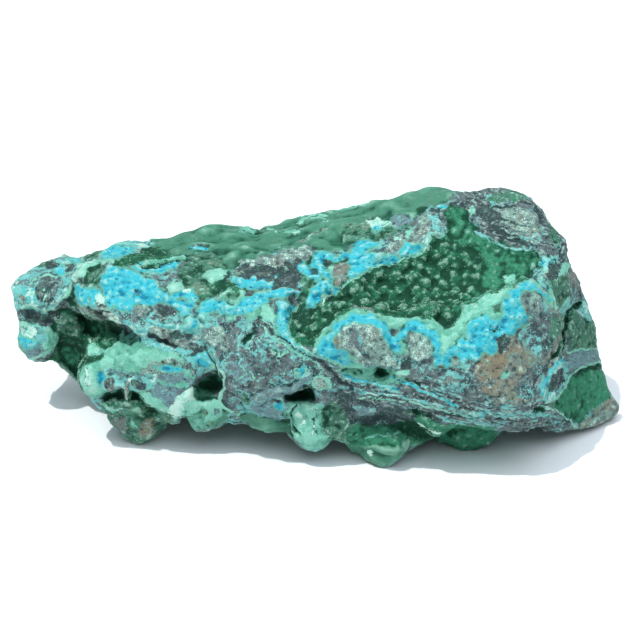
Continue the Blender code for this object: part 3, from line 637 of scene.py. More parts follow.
# Stains, veins, cracks and specks of the front: (finish, how far it stands proud, width, line).
# A line of one point is a round spot.
STROKES = (
    # folds and pale streaks of the top
    ("malachite", 0.4, 9, ((196, 248), (222, 238), (250, 230))),
    ("malachite", 0.5, 9, ((232, 256), (262, 242), (300, 232), (346, 220), (392, 206))),
    ("malachite", 0.4, 8, ((290, 226), (330, 212), (372, 204), (410, 194))),
    ("ash", 0.2, 3, ((290, 250), (298, 244), (308, 239))),
    ("malachite", 0.5, 6, ((296, 246), (312, 237), (330, 230), (350, 222))),
    ("ash", 0.2, 2.4, ((300, 242), (316, 233), (326, 230))),
    ("emerald", 0.2, 5, ((241, 231), (247, 229), (253, 232))),
    ("mint", 0.2, 2.4, ((298, 223), (304, 217), (316, 214), (328, 215))),
    ("mint", 0.2, 2, ((267, 227), (273, 229), (280, 232), (298, 231))),
    ("mint", 0.2, 2, ((310, 219), (320, 217), (326, 221))),
    ("emerald", 0.2, 3, ((338, 210), (352, 206), (368, 203))),
    ("umber", -0.9, 2.6, ((194, 246), (201, 244), (208, 246))),
    ("blue", 0.1, 2, ((193, 248), (208, 249))),
    # left end
    ("mint", 0.5, 4, ((67, 296), (68, 288), (73, 279), (78, 270), (83, 264), (94, 261), (113, 262))),
    ("cream", 0.2, 1.8, ((70, 284), (76, 273), (82, 265), (96, 260))),
    ("mint", 0.3, 2.2, ((21, 308), (32, 306), (44, 312), (54, 309), (61, 302), (65, 292))),
    ("mint", 0.3, 2.4, ((26, 361), (38, 358), (50, 351), (57, 342), (55, 332))),
    ("ash", 0.15, 1.8, ((41, 291), (45, 297), (41, 303))),
    ("mint", 0.15, 1.4, ((45, 290), (48, 298), (45, 305))),
    ("ash", 0.1, 1.4, ((50, 284), (56, 280), (60, 284))),
    ("rust", 0.2, 5, ((21, 296), (23, 299))),
    ("mint", 0.1, 1.8, ((30, 284), (36, 278), (46, 274), (58, 276))),
    ("druse", -0.7, 3, ((84, 280), (88, 273), (92, 268), (102, 266))),
    ("umber", -0.5, 1.8, ((90, 308), (97, 310), (109, 313))),
    ("cream", 0.2, 3, ((90, 340),)),
    ("mint", 0.3, 2, ((122, 332), (120, 341), (110, 347), (104, 352))),
    ("druse", -0.7, 2.2, ((136, 261), (141, 266), (155, 268), (166, 264), (182, 261))),
    ("druse", -0.6, 2, ((208, 283), (213, 288), (224, 278), (231, 273))),
    ("ash", 0.15, 1.4, ((152, 306), (157, 313), (163, 317), (168, 319), (173, 314))),
    ("ash", 0.15, 1.4, ((163, 317), (160, 322), (154, 325))),
    ("ash", 0.15, 1.4, ((150, 310), (146, 306), (141, 310))),
    ("blue", 0.2, 2.4, ((148, 320), (160, 326), (172, 326))),
    ("umber", 0.3, 7, ((174, 335), (181, 336))),
    ("umber", 0.3, 7, ((191, 347), (195, 348))),
    ("umber", -1.6, 3.2, ((148, 335), (162, 340), (177, 347))),
    ("umber", -0.6, 2, ((191, 355), (203, 350))),
    ("cream", 0.3, 5, ((86, 370), (88, 384))),
    ("rust", 0.4, 10, ((108, 382), (110, 387))),
    ("umber", 0.4, 5, ((107, 381), (106, 387))),
    ("rust", 0.5, 5, ((127, 383), (126, 396))),
    ("cream", 0.5, 3, ((127, 399),)),
    ("umber", 0.4, 7, ((134, 383), (142, 386))),
    ("umber", 0.4, 6.5, ((189, 367), (193, 371))),
    ("umber", 0.1, 3, ((127, 375),)),
    ("lilac", 0.3, 6, ((187, 379), (191, 381))),
    ("mint", 0.5, 3.2, (
        (213, 366), (223, 376), (225, 386), (220, 396), (220, 404), (228, 411), (239, 414),
    )),
    ("rust", 0.2, 4, ((205, 412),)),
    ("emerald", 0.3, 3, ((103, 404), (112, 412), (122, 410))),
    # rims
    ("druse", -0.6, 2, ((487, 327), (495, 331), (499, 327))),
    ("druse", -0.6, 1.8, ((465, 341), (474, 339))),
    ("blue", 0.3, 3, ((436, 206), (444, 206))),
    ("mint", 0.3, 2, ((339, 290), (352, 280), (368, 271), (380, 266), (397, 264), (404, 258))),
    ("mint", 0.3, 2, ((412, 257), (424, 252), (430, 240), (431, 232), (440, 238), (448, 231))),
    ("cream", 0.2, 2, ((332, 293), (326, 297), (322, 303))),
    ("mint", 0.2, 1.8, ((290, 336), (288, 322), (291, 312), (300, 305))),
    ("turquoise", 0.3, 2.4, ((392, 361), (399, 360), (399, 368), (392, 367))),
    ("matrix", 0.3, 5, ((340, 358),)),
    ("rust", 0.2, 2.6, ((353, 307), (366, 308), (376, 312))),
    # head
    ("turquoise", 0.2, 2.2, ((474, 231), (484, 236), (500, 244), (516, 250), (530, 251))),
    ("umber", -0.6, 2, ((486, 213), (496, 207), (512, 206))),
    ("umber", -0.5, 2, ((502, 218), (516, 224), (530, 228))),
    ("ash", 0.2, 2, ((500, 228), (514, 234), (526, 236), (538, 236))),
    ("ash", 0.2, 1.8, ((508, 236), (520, 240), (532, 242), (540, 240))),
    ("ash", 0.2, 1.8, ((508, 212), (518, 214), (528, 220))),
    ("umber", -0.8, 4, ((536, 247),)),
    # right side
    ("mint", 0.2, 2, ((549, 290), (554, 300), (557, 309), (563, 306), (568, 298))),
    ("druse", -1.8, 4.4, ((580, 303), (571, 311), (567, 322), (565, 338), (560, 350), (553, 357))),
    ("umber", -0.6, 2, ((551, 360), (546, 368), (538, 376), (532, 388))),
    ("mint", 0.4, 2, ((567, 354), (575, 350), (587, 348), (599, 350))),
    ("mint", 0.4, 2.2, (
        (602, 362), (588, 365), (576, 370), (570, 378), (564, 390), (554, 400), (544, 404),
    )),
    ("blue", 0.3, 2.4, ((542, 396), (546, 380), (553, 368), (562, 360))),
    ("mint", 0.3, 2.2, ((546, 408), (558, 412), (568, 420), (578, 428))),
    ("ochre", 0.6, 7, ((520, 371), (523, 372))),
    ("umber", -0.5, 1.8, ((482, 393), (490, 399), (500, 396))),
    # the seam and the strip
    ("umber", -0.3, 1.8, ((262, 322), (278, 336), (300, 351), (318, 360))),
    ("umber", -0.7, 3.2, ((314, 358), (329, 369), (340, 382), (352, 389))),
    ("turquoise", 0.3, 1.8, (
        (262, 318), (280, 333), (302, 348), (320, 357), (333, 368), (346, 378), (366, 385),
    )),
    ("mint", 0.2, 1.6, ((260, 325), (276, 339), (298, 354), (312, 361), (324, 370))),
    ("blue", 0.2, 2.2, ((345, 376), (366, 382), (385, 386), (400, 390))),
    ("blue", 0.2, 2, ((390, 378), (407, 383), (421, 390), (439, 398), (459, 407))),
    ("turquoise", 0.3, 2.4, ((360, 392), (392, 395), (425, 402), (455, 410), (480, 414))),
    ("mint", 0.3, 1.8, ((356, 398), (380, 398), (412, 402), (440, 409), (468, 418))),
    ("druse", -1.0, 3, ((414, 382), (420, 385))),
    ("mint", 0.1, 2, ((270, 350), (280, 352), (276, 357))),
    ("mint", 0.1, 2, ((276, 349), (279, 355), (288, 351))),
    ("blue", 0.1, 2, ((296, 372), (304, 366), (300, 376))),
    ("umber", -0.9, 2, ((240, 404), (250, 398), (262, 390), (276, 386), (290, 386), (300, 379))),
    ("umber", -0.5, 1.8, ((205, 346), (212, 362), (222, 378))),
    ("turquoise", 0.1, 2, ((238, 352), (243, 358), (240, 364))),
    ("turquoise", 0.1, 2, ((262, 340), (266, 346), (272, 344))),
    ("mint", 0.1, 1.8, ((250, 372), (254, 380), (260, 374))),
    ("mint", 0.1, 1.8, ((240, 366), (246, 372), (240, 378))),
    ("blue", 0.3, 6, ((277, 402), (281, 407))),
    ("umber", -0.7, 2.2, ((261, 406), (268, 401), (279, 401))),
    ("olive", 0.5, 7, ((244, 396), (246, 402))),
    ("mint", 0.3, 2, ((300, 402), (310, 408), (306, 416), (312, 426), (304, 434))),
    ("mint", 0.3, 1.8, ((316, 404), (320, 412), (316, 422), (322, 432))),
    ("malachite", 0.25, 2, ((312, 404), (317, 413), (313, 424), (318, 434))),
    ("malachite", 0.2, 2.2, ((297, 405), (291, 414), (293, 426), (300, 436))),
    ("cream", 0.2, 1.8, ((300, 424), (307, 420), (315, 428), (313, 438))),
    ("cream", 0.3, 5, ((298, 414), (301, 417))),
    ("olive", 0.7, 11, ((328, 430),)),
    ("olive", 0.8, 10, ((340, 434),)),
    ("olive", 0.7, 9, ((334, 420),)),
    ("olive", 0.6, 8, ((345, 424),)),
    ("cream", 0.2, 1.8, ((419, 423), (428, 430), (441, 434))),
    ("emerald", 0.2, 1.8, ((350, 434), (366, 437), (384, 436), (400, 432))),
    ("cream", 0.1, 4, ((368, 452), (371, 454))),
)


# Settings ----------------------------------------------------------------------------------------


def srgb(red, green, blue):
    """A colour given in 0 to 255 screen steps, as the linear values that a shader takes."""
    return tuple(
        c / 12.92 if c <= 0.04045 else ((c + 0.055) / 1.055) ** 2.4
        for c in (red / 255, green / 255, blue / 255)
    )


def colour(name, description, *steps):
    """A colour setting, with its default in 0 to 255 screen steps."""
    return FloatVectorProperty(
        name=name, description=description, subtype="COLOR", size=3, min=0.0, max=1.0, default=srgb(*steps)
    )


def length(name, description, millimetres):
    """A length setting, with its default in millimetres."""
    return FloatProperty(
        name=name, description=description, subtype="DISTANCE", unit="LENGTH", default=millimetres * MM,
        min=0.0, precision=5,
    )


class SpecimenColours(bpy.types.PropertyGroup):
    """Colours of the minerals and of the floor, some of which also serve as painted shade and painted
    highlight.
    """

    malachite: colour("Malachite", "Smooth green top of the stone", 67, 125, 101)
    # pale malachite: real pale streaks, and also painted highlight on the crests of the smooth green
    malachite_pale: colour("Pale malachite", "Streaks and worn tops of the smooth green", 112, 166, 142)
    # deep malachite: painted shade in the hollows of the smooth green, with some darker tone at random
    malachite_deep: colour("Deep malachite", "Hollows of the smooth green", 36, 94, 74)
    velvet: colour("Velvet", "Fresh green facets", 51, 124, 94)
    # druse: the real dark green of the druse and caves, and also painted shade between the bubbles and in the
    # crevices of the green finishes
    druse: colour("Druse", "Dark green of the open druse between its bubbles", 14, 62, 44)
    bubble: colour("Bubble", "Sides of the bubbles in the druse", 28, 98, 68)
    # bubble top: real dust on the tops of the bubbles, and also painted sheen on them; the crystals take it
    # as their own pale tint
    bubble_top: colour("Bubble top", "Dusty tops of the bubbles", 118, 150, 132)
    olive: colour("Lobe green", "Dark green lobes and recesses", 63, 109, 90)
    emerald: colour("Emerald", "Stronger green of the pale crusts", 92, 163, 140)
    mint: colour("Mint", "Palest green of the smooth crusts", 127, 192, 170)
    blue: colour("Chrysocolla", "Bright blue crust", 54, 172, 184)
    # deep chrysocolla: painted shade in the hollows of the blue crust and under its grains, mottled at random
    blue_deep: colour("Deep chrysocolla", "Blue in the cracks of the crust", 18, 122, 150)
    turquoise: colour("Turquoise", "Mottled turquoise films", 104, 178, 172)
    lilac: colour("Lilac", "Grey blue films", 100, 128, 132)
    ash: colour("Ash", "Pale grey weathered rock", 122, 154, 141)
    rust: colour("Rust", "Brown iron stained rock", 117, 120, 109)
    rust_bright: colour("Bright rust", "Orange stains in the brown rock", 136, 115, 92)
    ochre: colour("Ochre", "Tan and orange iron stains", 122, 114, 92)
    rock: colour("Rock", "Grey matrix", 90, 104, 105)
    rock_dark: colour("Dark rock", "Dark parts of the matrix", 44, 58, 61)
    # umber: real black brown rock, and also painted shade in the crevices of the grey and brown finishes
    umber: colour("Umber", "Black brown cracks and hollows", 45, 63, 64)
    # cream: real chalky specks and veins, and also painted highlight on the crests of the skin
    cream: colour("Cream", "Chalky specks and veins", 180, 214, 199)
    floor: colour("Floor", "Plain pale floor", 243, 244, 246)


class SpecimenSizes(bpy.types.PropertyGroup):
    """Sizes of the stone's texture."""

    skin_grid: length("Skin grid", "Spacing of the mesh when the stone is roughed out", 0.5)
    detail_grid: length("Detail grid", "Spacing of the mesh that carries the fine relief", 0.4)
    edge_softness: length("Edge softness", "Half width of the border between two finishes", 0.9)
    edge_waver: length("Edge waver", "How far the borders wander", 0.5)
    bubble_small: length("Smallest bubble", "Radius of the smallest bubble of the druse", 1.3)
    bubble_large: length("Largest bubble", "Radius of the largest bubble of the druse", 2.3)
    grain: length("Blue grain", "Radius of the largest grains of the blue crust", 0.42)
    crystal: length("Crystal", "Radius of the largest loose crystals", 0.15)
    floor_width: length("Floor width", "Width of the square floor", 6000.0)
    seed: IntProperty(name="Seed", description="Seed of every scattered piece", default=7, min=0)


# Shader nodes ------------------------------------------------------------------------------------


class Number:
    """A node socket that carries a number: Python arithmetic on it adds Math nodes."""

    def __init__(self, paint, socket):
        self.paint = paint
        self.socket = socket

    def math(self, operation, *values):
        """Adds one Math node and returns its output."""
        settings = {"operation": operation}
        return self.paint.node("ShaderNodeMath", settings, dict(enumerate(values)))

    def __add__(self, other):
        return self.math("ADD", self, other)

    def __sub__(self, other):
        return self.math("SUBTRACT", self, other)

    def __mul__(self, other):
        return self.math("MULTIPLY", self, other)

    def __rsub__(self, other):
        return self.math("SUBTRACT", other, self)

    __radd__ = __add__
    __rmul__ = __mul__


class Paint:
    """The node tree of one material."""

    def __init__(self, name):
        self.material = bpy.data.materials.new(name)
        self.material.use_nodes = True
        self.tree = self.material.node_tree
        self.shader = self.tree.nodes["Principled BSDF"]
        self.place = self.node("ShaderNodeTexCoord", {}, {}, "Object")

    def node(self, kind, settings, values, output=0):
        """Adds a node, sets it up, fills or links its sockets, and returns one of its outputs."""
        added = self.tree.nodes.new(kind)
        for key, value in settings.items():
            setattr(added, key, value)
        for key, value in values.items():
            self.feed(added.inputs[key], value)
        return Number(self, added.outputs[output])

    def feed(self, socket, value):
        """Links a socket to another, or sets its value."""
        if isinstance(value, Number):
            self.tree.links.new(value.socket, socket)
        elif isinstance(value, tuple) and len(value) == 3 and socket.type == "RGBA":
            socket.default_value = (*value, 1.0)
        elif socket.type == "VECTOR" and isinstance(value, float):
            socket.default_value = (value,) * 3
        else:
            socket.default_value = value

    def noise(self, size, detail=3.0, roughness=0.6, stretch=(1.0, 1.0, 1.0), tilt=0.0, shift=0.0,
              distortion=0.0):
        """Cloudy noise from 0 to 1 with features of this size in millimetres.
        Stretch lengthens them, and tilt turns them down towards +X, in degrees."""
        place = self.node(
            "ShaderNodeMapping", {"vector_type": "TEXTURE"},
            {
                "Vector": self.place, "Location": (shift, shift, shift),
                "Rotation": (0.0, math.radians(tilt), 0.0), "Scale": stretch,
            },
        )
        return self.node(
            "ShaderNodeTexNoise", {},
            {
                "Vector": place, "Scale": 1 / (size * MM), "Detail": detail, "Roughness": roughness,
                "Distortion": distortion,
            },
        )

    def cells(self, size, feature="F1", warp=0.0):
        """Distance to the middle, or to the edge, of rounded cells of this size in millimetres."""
        place = self.node("ShaderNodeVectorMath", {"operation": "ADD"}, {0: self.place, 1: warp})
        return self.node(
            "ShaderNodeTexVoronoi", {"feature": feature}, {"Vector": place, "Scale": 1 / (size * MM)},
            "Distance",
        )

    def mask(self, name):
        """One of the soft masks stored on the mesh."""
        return self.node("ShaderNodeAttribute", {"attribute_name": name}, {}, "Fac")

    def ramp(self, value, low, high, start=0.0, end=1.0):
        """Eases from start to end as the value goes from low to high."""
        return self.node(
            "ShaderNodeMapRange", {"interpolation_type": "SMOOTHSTEP"},
            {"Value": value, "From Min": low, "From Max": high, "To Min": start, "To Max": end},
        )

    def mix(self, below, above, share):
        """Lays one colour over another by a share from 0 to 1."""
        return self.node("ShaderNodeMix", {"data_type": "RGBA"}, {"Factor": share, 6: below, 7: above}, 2)

    def finish(self, base_color, roughness, height, reach, strength=1.0):
        """Plugs colour, roughness and a bump of this reach in millimetres into the shader."""
        bump = self.node(
            "ShaderNodeBump", {}, {"Height": height, "Distance": reach * MM, "Strength": strength}
        )
        self.feed(self.shader.inputs["Specular IOR Level"], SHEEN)
        for socket, value in (("Base Color", base_color), ("Roughness", roughness), ("Normal", bump)):
            self.feed(self.shader.inputs[socket], value)
        return self.material


# Mesh helpers ------------------------------------------------------------------------------------


def deselect():
    """Leaves nothing selected."""
    bpy.ops.object.select_all(action="DESELECT")


def make_active(obj):
    """Selects one object alone and makes it the active one."""
    deselect()
    obj.select_set(True)
    bpy.context.view_layer.objects.active = obj


def apply_modifier(obj, kind, **settings):
    """Adds one modifier, sets it up and applies it."""
    make_active(obj)
    step = obj.modifiers.new(kind.title(), kind)
    for key, value in settings.items():
        setattr(step, key, value)
    bpy.ops.object.modifier_apply(modifier=step.name)


def edit_faces(obj, chosen):
    """Goes to edit mode with only the chosen faces selected."""
    bpy.ops.object.mode_set(mode="EDIT")
    bpy.ops.mesh.select_mode(type="FACE")
    bpy.ops.mesh.select_all(action="DESELECT")
    bpy.ops.object.mode_set(mode="OBJECT")
    obj.data.polygons.foreach_set("select", chosen)
    bpy.ops.object.mode_set(mode="EDIT")


def drop_fins(obj):
    """Deletes the stray triangles that stand on the surface by one edge, which thinning can leave."""
    corner_edges = np.empty(len(obj.data.loops), dtype=np.int32)
    obj.data.loops.foreach_get("edge_index", corner_edges)
    is_open = np.bincount(corner_edges)[corner_edges] == 1
    edit_faces(obj, is_open.reshape(-1, 3).sum(axis=1) > 1)
    bpy.ops.mesh.delete(type="FACE")
    bpy.ops.mesh.select_all(action="SELECT")
    bpy.ops.mesh.delete_loose()
    bpy.ops.object.mode_set(mode="OBJECT")


def points_of(mesh):
    """Vertex places in millimetres."""
    flat = np.empty(len(mesh.vertices) * 3, np.float32)
    mesh.vertices.foreach_get("co", flat)
    return flat.reshape(-1, 3).astype(float) / MM


def move_points(mesh, places):
    """Puts the vertices at new places in millimetres."""
    mesh.vertices.foreach_set("co", (places * MM).astype(np.float32).ravel())
    mesh.update()


def above_floor(places):
    """Lifts what lies under the floor onto it."""
    return np.maximum(places, (-np.inf, -np.inf, 0.0))


def normals_of(mesh):
    """Vertex normals."""
    flat = np.empty(len(mesh.vertices) * 3, np.float32)
    mesh.vertex_normals.foreach_get("vector", flat)
    return flat.reshape(-1, 3).astype(float)


def edges_of(mesh):
    """The two vertices of each edge."""
    flat = np.empty(len(mesh.edges) * 2, np.int32)
    mesh.edges.foreach_get("vertices", flat)
    return flat.reshape(-1, 2)


def store(mesh, name, values):
    """Stores one number per vertex on the mesh."""
    attribute = mesh.attributes.get(name) or mesh.attributes.new(name, "FLOAT", "POINT")
    attribute.data.foreach_set("value", values.astype(np.float32))


def hollows_of(places, normals, edges, rounds, full):
    """How deep each vertex lies among its neighbours: 0 on a crest, 0.5 on a flat, 1 in a pit."""
    mean = np.stack([spread(places[:, axis], edges, rounds) for axis in range(3)], axis=1)
    return np.clip(0.5 + 0.5 * np.einsum("ij,ij->i", mean - places, normals) / full, 0.0, 1.0)


def ease(values, low, high):
    """Eases from 0 to 1 as values go from low to high."""
    t = np.clip((values - low) / (high - low), 0.0, 1.0)
    return t * t * (3 - 2 * t)


# Noise -------------------------------------------------------------------------------------------

NOISE_SEED = 11
noise_chance = np.random.RandomState(NOISE_SEED)
SHUFFLE = np.tile(noise_chance.permutation(256), 3)
SLOPES = noise_chance.normal(size=(256, 3))
SLOPES /= np.linalg.norm(SLOPES, axis=1)[:, None]
SEEDS = noise_chance.rand(256, 3)


def lattice(cell):
    """A repeatable pick from 0 to 255 for every cell of a grid."""
    x, y, z = (cell % 256).T
    return SHUFFLE[SHUFFLE[SHUFFLE[x] + y] + z]


def clouds(places, size, octaves=1, shift=0.0):
    """Smooth noise from about -1 to 1 with features of this size."""
    total = np.zeros(len(places))
    for octave in range(octaves):
        scaled = places * (2**octave / size) + shift + 37.0 * octave
        whole = np.floor(scaled).astype(int)
        part = scaled - whole
        blend = part * part * part * (part * (part * 6 - 15) + 10)
        value = np.zeros(len(places))
        for corner in np.ndindex(2, 2, 2):
            slope = SLOPES[lattice(whole + corner)]
            share = np.prod(np.where(corner, blend, 1 - blend), axis=1)
            value += share * np.einsum("ij,ij->i", slope, part - corner)
        total += value * 1.6 / 2**octave
    return total


def knobs(places, size, shift=0.0):
    """Distance, in cells, to the nearest of the scattered points, one to each cell of this size."""
    scaled = places / size + shift
    whole = np.floor(scaled).astype(int)
    part = scaled - whole
    nearest = np.full(len(places), 9.0)
    for corner in np.ndindex(3, 3, 3):
        offset = np.array(corner) - 1
        point = SEEDS[lattice(whole + offset)] + offset
        nearest = np.minimum(nearest, np.einsum("ij,ij->i", point - part, point - part))
    return np.sqrt(nearest)


# From the outlines to the stone ------------------------------------------------------------------


def pixels_of(places):
    """Where places in millimetres fall in the frame."""
    away = places - EYE
    depth = away[:, 1] * COS_RISE - away[:, 2] * SIN_RISE
    across = FRAME_WIDTH / 2 + FOCAL_PIXELS * away[:, 0] / depth
    down = FRAME_HEIGHT / 2 - FOCAL_PIXELS * (away[:, 1] * SIN_RISE + away[:, 2] * COS_RISE) / depth
    return np.stack((across, down), axis=1)


def line_distance(pixels, line, closed):
    """Distance in pixels to an open or closed line, or to a single point."""
    nearest = np.full(len(pixels), 1e9)
    ends = list(zip(line, line[1:])) or [(line[0], line[0])]
    if closed:
        ends.append((line[-1], line[0]))
    for start, end in ends:
        start, run = np.array(start, float), np.subtract(end, start).astype(float)
        along = np.clip((pixels - start) @ run / max(run @ run, 1e-9), 0, 1)
        gap = pixels - start - along[:, None] * run
        nearest = np.minimum(nearest, np.einsum("ij,ij->i", gap, gap))
    return np.sqrt(nearest)


def nudged(places):
    """Draws the stone in or out where the table of nudges says."""
    pixels = pixels_of(places)
    moved = places.copy()
    for centre, reach, move in NUDGES:
        gap = np.linalg.norm(pixels - centre, axis=1) / reach
        moved += np.exp(-gap * gap)[:, None] * np.array(move)
    return moved


def inside(pixels, outline):
    """Whether each pixel lies in a closed outline."""
    within = np.zeros(len(pixels), bool)
    x, y = pixels.T
    for (x0, y0), (x1, y1) in zip(outline, outline[1:] + outline[:1]):
        if y0 != y1:
            crosses = (y0 > y) != (y1 > y)
            within ^= crosses & (x < x0 + (y - y0) * (x1 - x0) / (y1 - y0))
    return within


def reach_of(pixels, shape, width, softness):
    """How far each pixel is inside a shape, from 0 outside to 1 inside, 0.5 on its edge.
    A width makes the shape a line. Returns the pixels near the shape and their values."""
    low, high = np.min(shape, axis=0), np.max(shape, axis=0)
    margin = softness * PIXELS_PER_MM + (width or 0)
    near = np.flatnonzero(((pixels > low - margin) & (pixels < high + margin)).all(axis=1))
    if width:
        signed = width / 2 - line_distance(pixels[near], shape, False)
        softness = min(softness, width / 2 / PIXELS_PER_MM)
    else:
        distance = line_distance(pixels[near], shape, True)
        signed = np.where(inside(pixels[near], shape), distance, -distance)
    return near, np.clip(0.5 + signed / (2 * softness * PIXELS_PER_MM), 0.0, 1.0)


def seen(mesh, places, normals):
    """1 for each vertex that the front view reaches, and 0 for the rest."""
    tree = BVHTree.FromPolygons(
        [v.co.copy() for v in mesh.vertices], [tuple(p.vertices) for p in mesh.polygons]
    )
    to_eye = EYE - places
    to_eye /= np.linalg.norm(to_eye, axis=1)[:, None]
    facing = np.einsum("ij,ij->i", to_eye, normals)
    visible = np.zeros(len(places))
    starts = (places + normals * LIFT) * MM
    for index in np.flatnonzero(facing > GRAZING):
        hit = tree.ray_cast(Vector(starts[index]), Vector(to_eye[index]))
        visible[index] = hit[0] is None
    return visible


def spread(values, edges, rounds):
    """Averages values over the mesh's neighbours."""
    ones = np.bincount(edges.ravel(), minlength=len(values))
    for _ in range(rounds):
        total = np.bincount(edges[:, 0], values[edges[:, 1]], len(values))
        total += np.bincount(edges[:, 1], values[edges[:, 0]], len(values))
        values = 0.5 * values + 0.5 * total / np.maximum(ones, 1)
    return values


def hidden_masks(places, normals):
    """Finishes of the sides that the outlines don't reach, from the way such a stone grows."""
    big, middle = clouds(places, 19.0, 2), clouds(places, 11.0, 2, 5.0)
    small = clouds(places, 6.5, 2, 9.0)
    up = normals[:, 2]
    low = ease(-places[:, 2], -11.0, -5.0)
    masks = {finish: np.zeros(len(places)) for finish in FINISHES}

    def lay(finish, share):
        for name, other in masks.items():
            if name != finish:
                np.minimum(other, PATCH_ROOM - share, out=other)
        np.maximum(masks[finish], share, out=masks[finish])

    lay("rust", ease(middle, 0.18, 0.42))
    lay("turquoise", ease(small + 0.5 * big, 0.22, 0.42))
    lay("olive", ease(big + 0.5 * low, 0.12, 0.34))
    lay("olive", ease(low + 0.3 * middle, 0.3, 0.6))
    lay("malachite", ease(up + 0.6 * big + 0.02 * (places[:, 2] - 22), 0.3, 0.6))
    lay("emerald", ease(middle - 0.4 * small, 0.4, 0.56))
    lay("mint", ease(small - 0.5 * middle, 0.5, 0.62))
    lay("blue", ease(clouds(places, 9.0, 2, 21.0) - 0.3 * low, 0.34, 0.48))
    lay("ash", ease(clouds(places, 8.0, 2, 31.0), 0.38, 0.52))
    lay("umber", ease(clouds(places, 5.0, 2, 41.0), 0.42, 0.56))
    return masks


def finishes_of(mesh, sizes):
    """Places, normals, edges, share in view, finish masks and relief of a mesh."""
    places, normals, edges = points_of(mesh), normals_of(mesh), edges_of(mesh)
    visible = seen(mesh, places, normals)
    softness, waver = sizes.edge_softness / MM, sizes.edge_waver / MM * PIXELS_PER_MM
    pixels = pixels_of(places)
    pixels[:, 0] += waver * clouds(places, WAVER_SIZE, 2, 3.0)
    pixels[:, 1] += waver * clouds(places, WAVER_SIZE, 2, 13.0)
    front = np.flatnonzero(visible > 0)
    masks = {finish: np.zeros(len(front)) for finish in FINISHES}
    relief = np.zeros(len(front))
    shapes = [(finish, rise, None, shape) for finish, rise, shape in PATCHES]
    shapes += STROKES
    for finish, rise, width, shape in shapes:
        near, share = reach_of(pixels[front], shape, width, softness)
        room = (PATCH_ROOM if width is None else LINE_ROOM) - share
        for name, other in masks.items():
            if name != finish:
                other[near] = np.minimum(other[near], room)
        if finish != "matrix":
            masks[finish][near] = np.maximum(masks[finish][near], share)
        height = ease(share, 0.1, 0.9)
        relief[near] = relief[near] * (1 - height) + rise * height
    behind = hidden_masks(places, normals)
    known = np.maximum(spread(visible, edges, CARRY_ROUNDS), 1e-6)
    near_front = ease(known, 0.0, 0.12)
    blend = np.clip(2 * spread(visible, edges, BLEND_ROUNDS), 0, 1)
    result = {}
    for finish in FINISHES:
        full = np.zeros(len(places))
        full[front] = masks[finish]
        carried = spread(full * visible, edges, CARRY_ROUNDS) / known
        drawn = np.where(visible > 0, full, carried)
        result[finish] = near_front * drawn + (1 - near_front) * behind[finish]
    heights = np.zeros(len(places))
    heights[front] = relief
    heights *= np.clip(2 * spread(visible, edges, RELIEF_ROUNDS) - 0.5, 0, 1)
    return places, normals, edges, blend, result, heights


def fine_relief(places, masks):
    """Height of the fine relief of every finish, in millimetres."""
    coarse, middle, fine = clouds(places, 5.0, 2), clouds(places, 2.4, 2, 4.0), clouds(places, 1.1, 1, 8.0)
    flow = clouds(places * (0.3, 0.9, 1.0) + 0.5 * coarse[:, None], 2.2, 2, 17.0)
    waves = clouds(places * (0.45, 0.8, 0.9) + 0.9 * coarse[:, None], 4.2, 1, 19.0)
    layers = clouds(places * (0.35, 0.35, 1.3) + 0.9 * coarse[:, None], 2.4, 1, 23.0)
    along = places @ STRIKE
    bands = clouds(places * (0.4, 0.5, 0.4) + (along * 0.9)[:, None] + 0.4 * coarse[:, None], 1.4, 1, 29.0)
    lumps, beads = 0.62 - knobs(places, 2.7, 2.0), 0.62 - knobs(places, 1.5)
    small_beads = 0.62 - knobs(places, 0.95, 6.0)
    heights = {
        "malachite": 1.15 * waves + 0.2 * coarse + 0.2 * flow + 0.05 * fine,
        "velvet": 0.3 * lumps + 0.25 * middle + 0.15 * small_beads + 0.06 * fine,
        "olive": 0.3 * middle + 0.3 * small_beads + 0.1 * fine,
        "strata": 0.35 * ease(np.abs(bands), 0.2, 0.0) + 0.3 * middle + 0.1 * fine,
        "emerald": 0.25 * middle + 0.25 * small_beads + 0.05 * fine,
        "mint": 0.16 * middle + 0.1 * small_beads,
        "turquoise": 0.24 * flow + 0.2 * middle + 0.1 * fine,
        "lilac": 0.2 * middle + 0.12 * fine,
        "ash": 0.25 * middle + 0.2 * fine + 0.25 * small_beads,
        "ochre": 0.3 * lumps + 0.25 * middle + 0.1 * fine,
        "rust": 0.35 * coarse + 0.3 * middle + 0.25 * beads + 0.16 * fine,
        "druse": 0.35 * lumps + 0.3 * beads + 0.2 * small_beads + 0.06 * fine,
        "blue": 0.35 * flow + 0.15 * beads + 0.4 * middle + 0.14 * fine,
        "cream": 0.15 * middle,
        "umber": 0.25 * middle + 0.12 * fine,
    }
    head = ease(places[:, 2], 36.0, 42.0) * ease(places[:, 0], 30.0, 40.0)
    rock = 0.3 * coarse + 0.25 * middle + 0.15 * fine - 0.7 * head * ease(np.abs(layers), 0.14, 0.0)
    total = rock.copy()
    for finish in FINISHES:
        share = ease(masks[finish], 0.3, 0.7)
        total = total * (1 - share) + heights[finish] * share
    return total


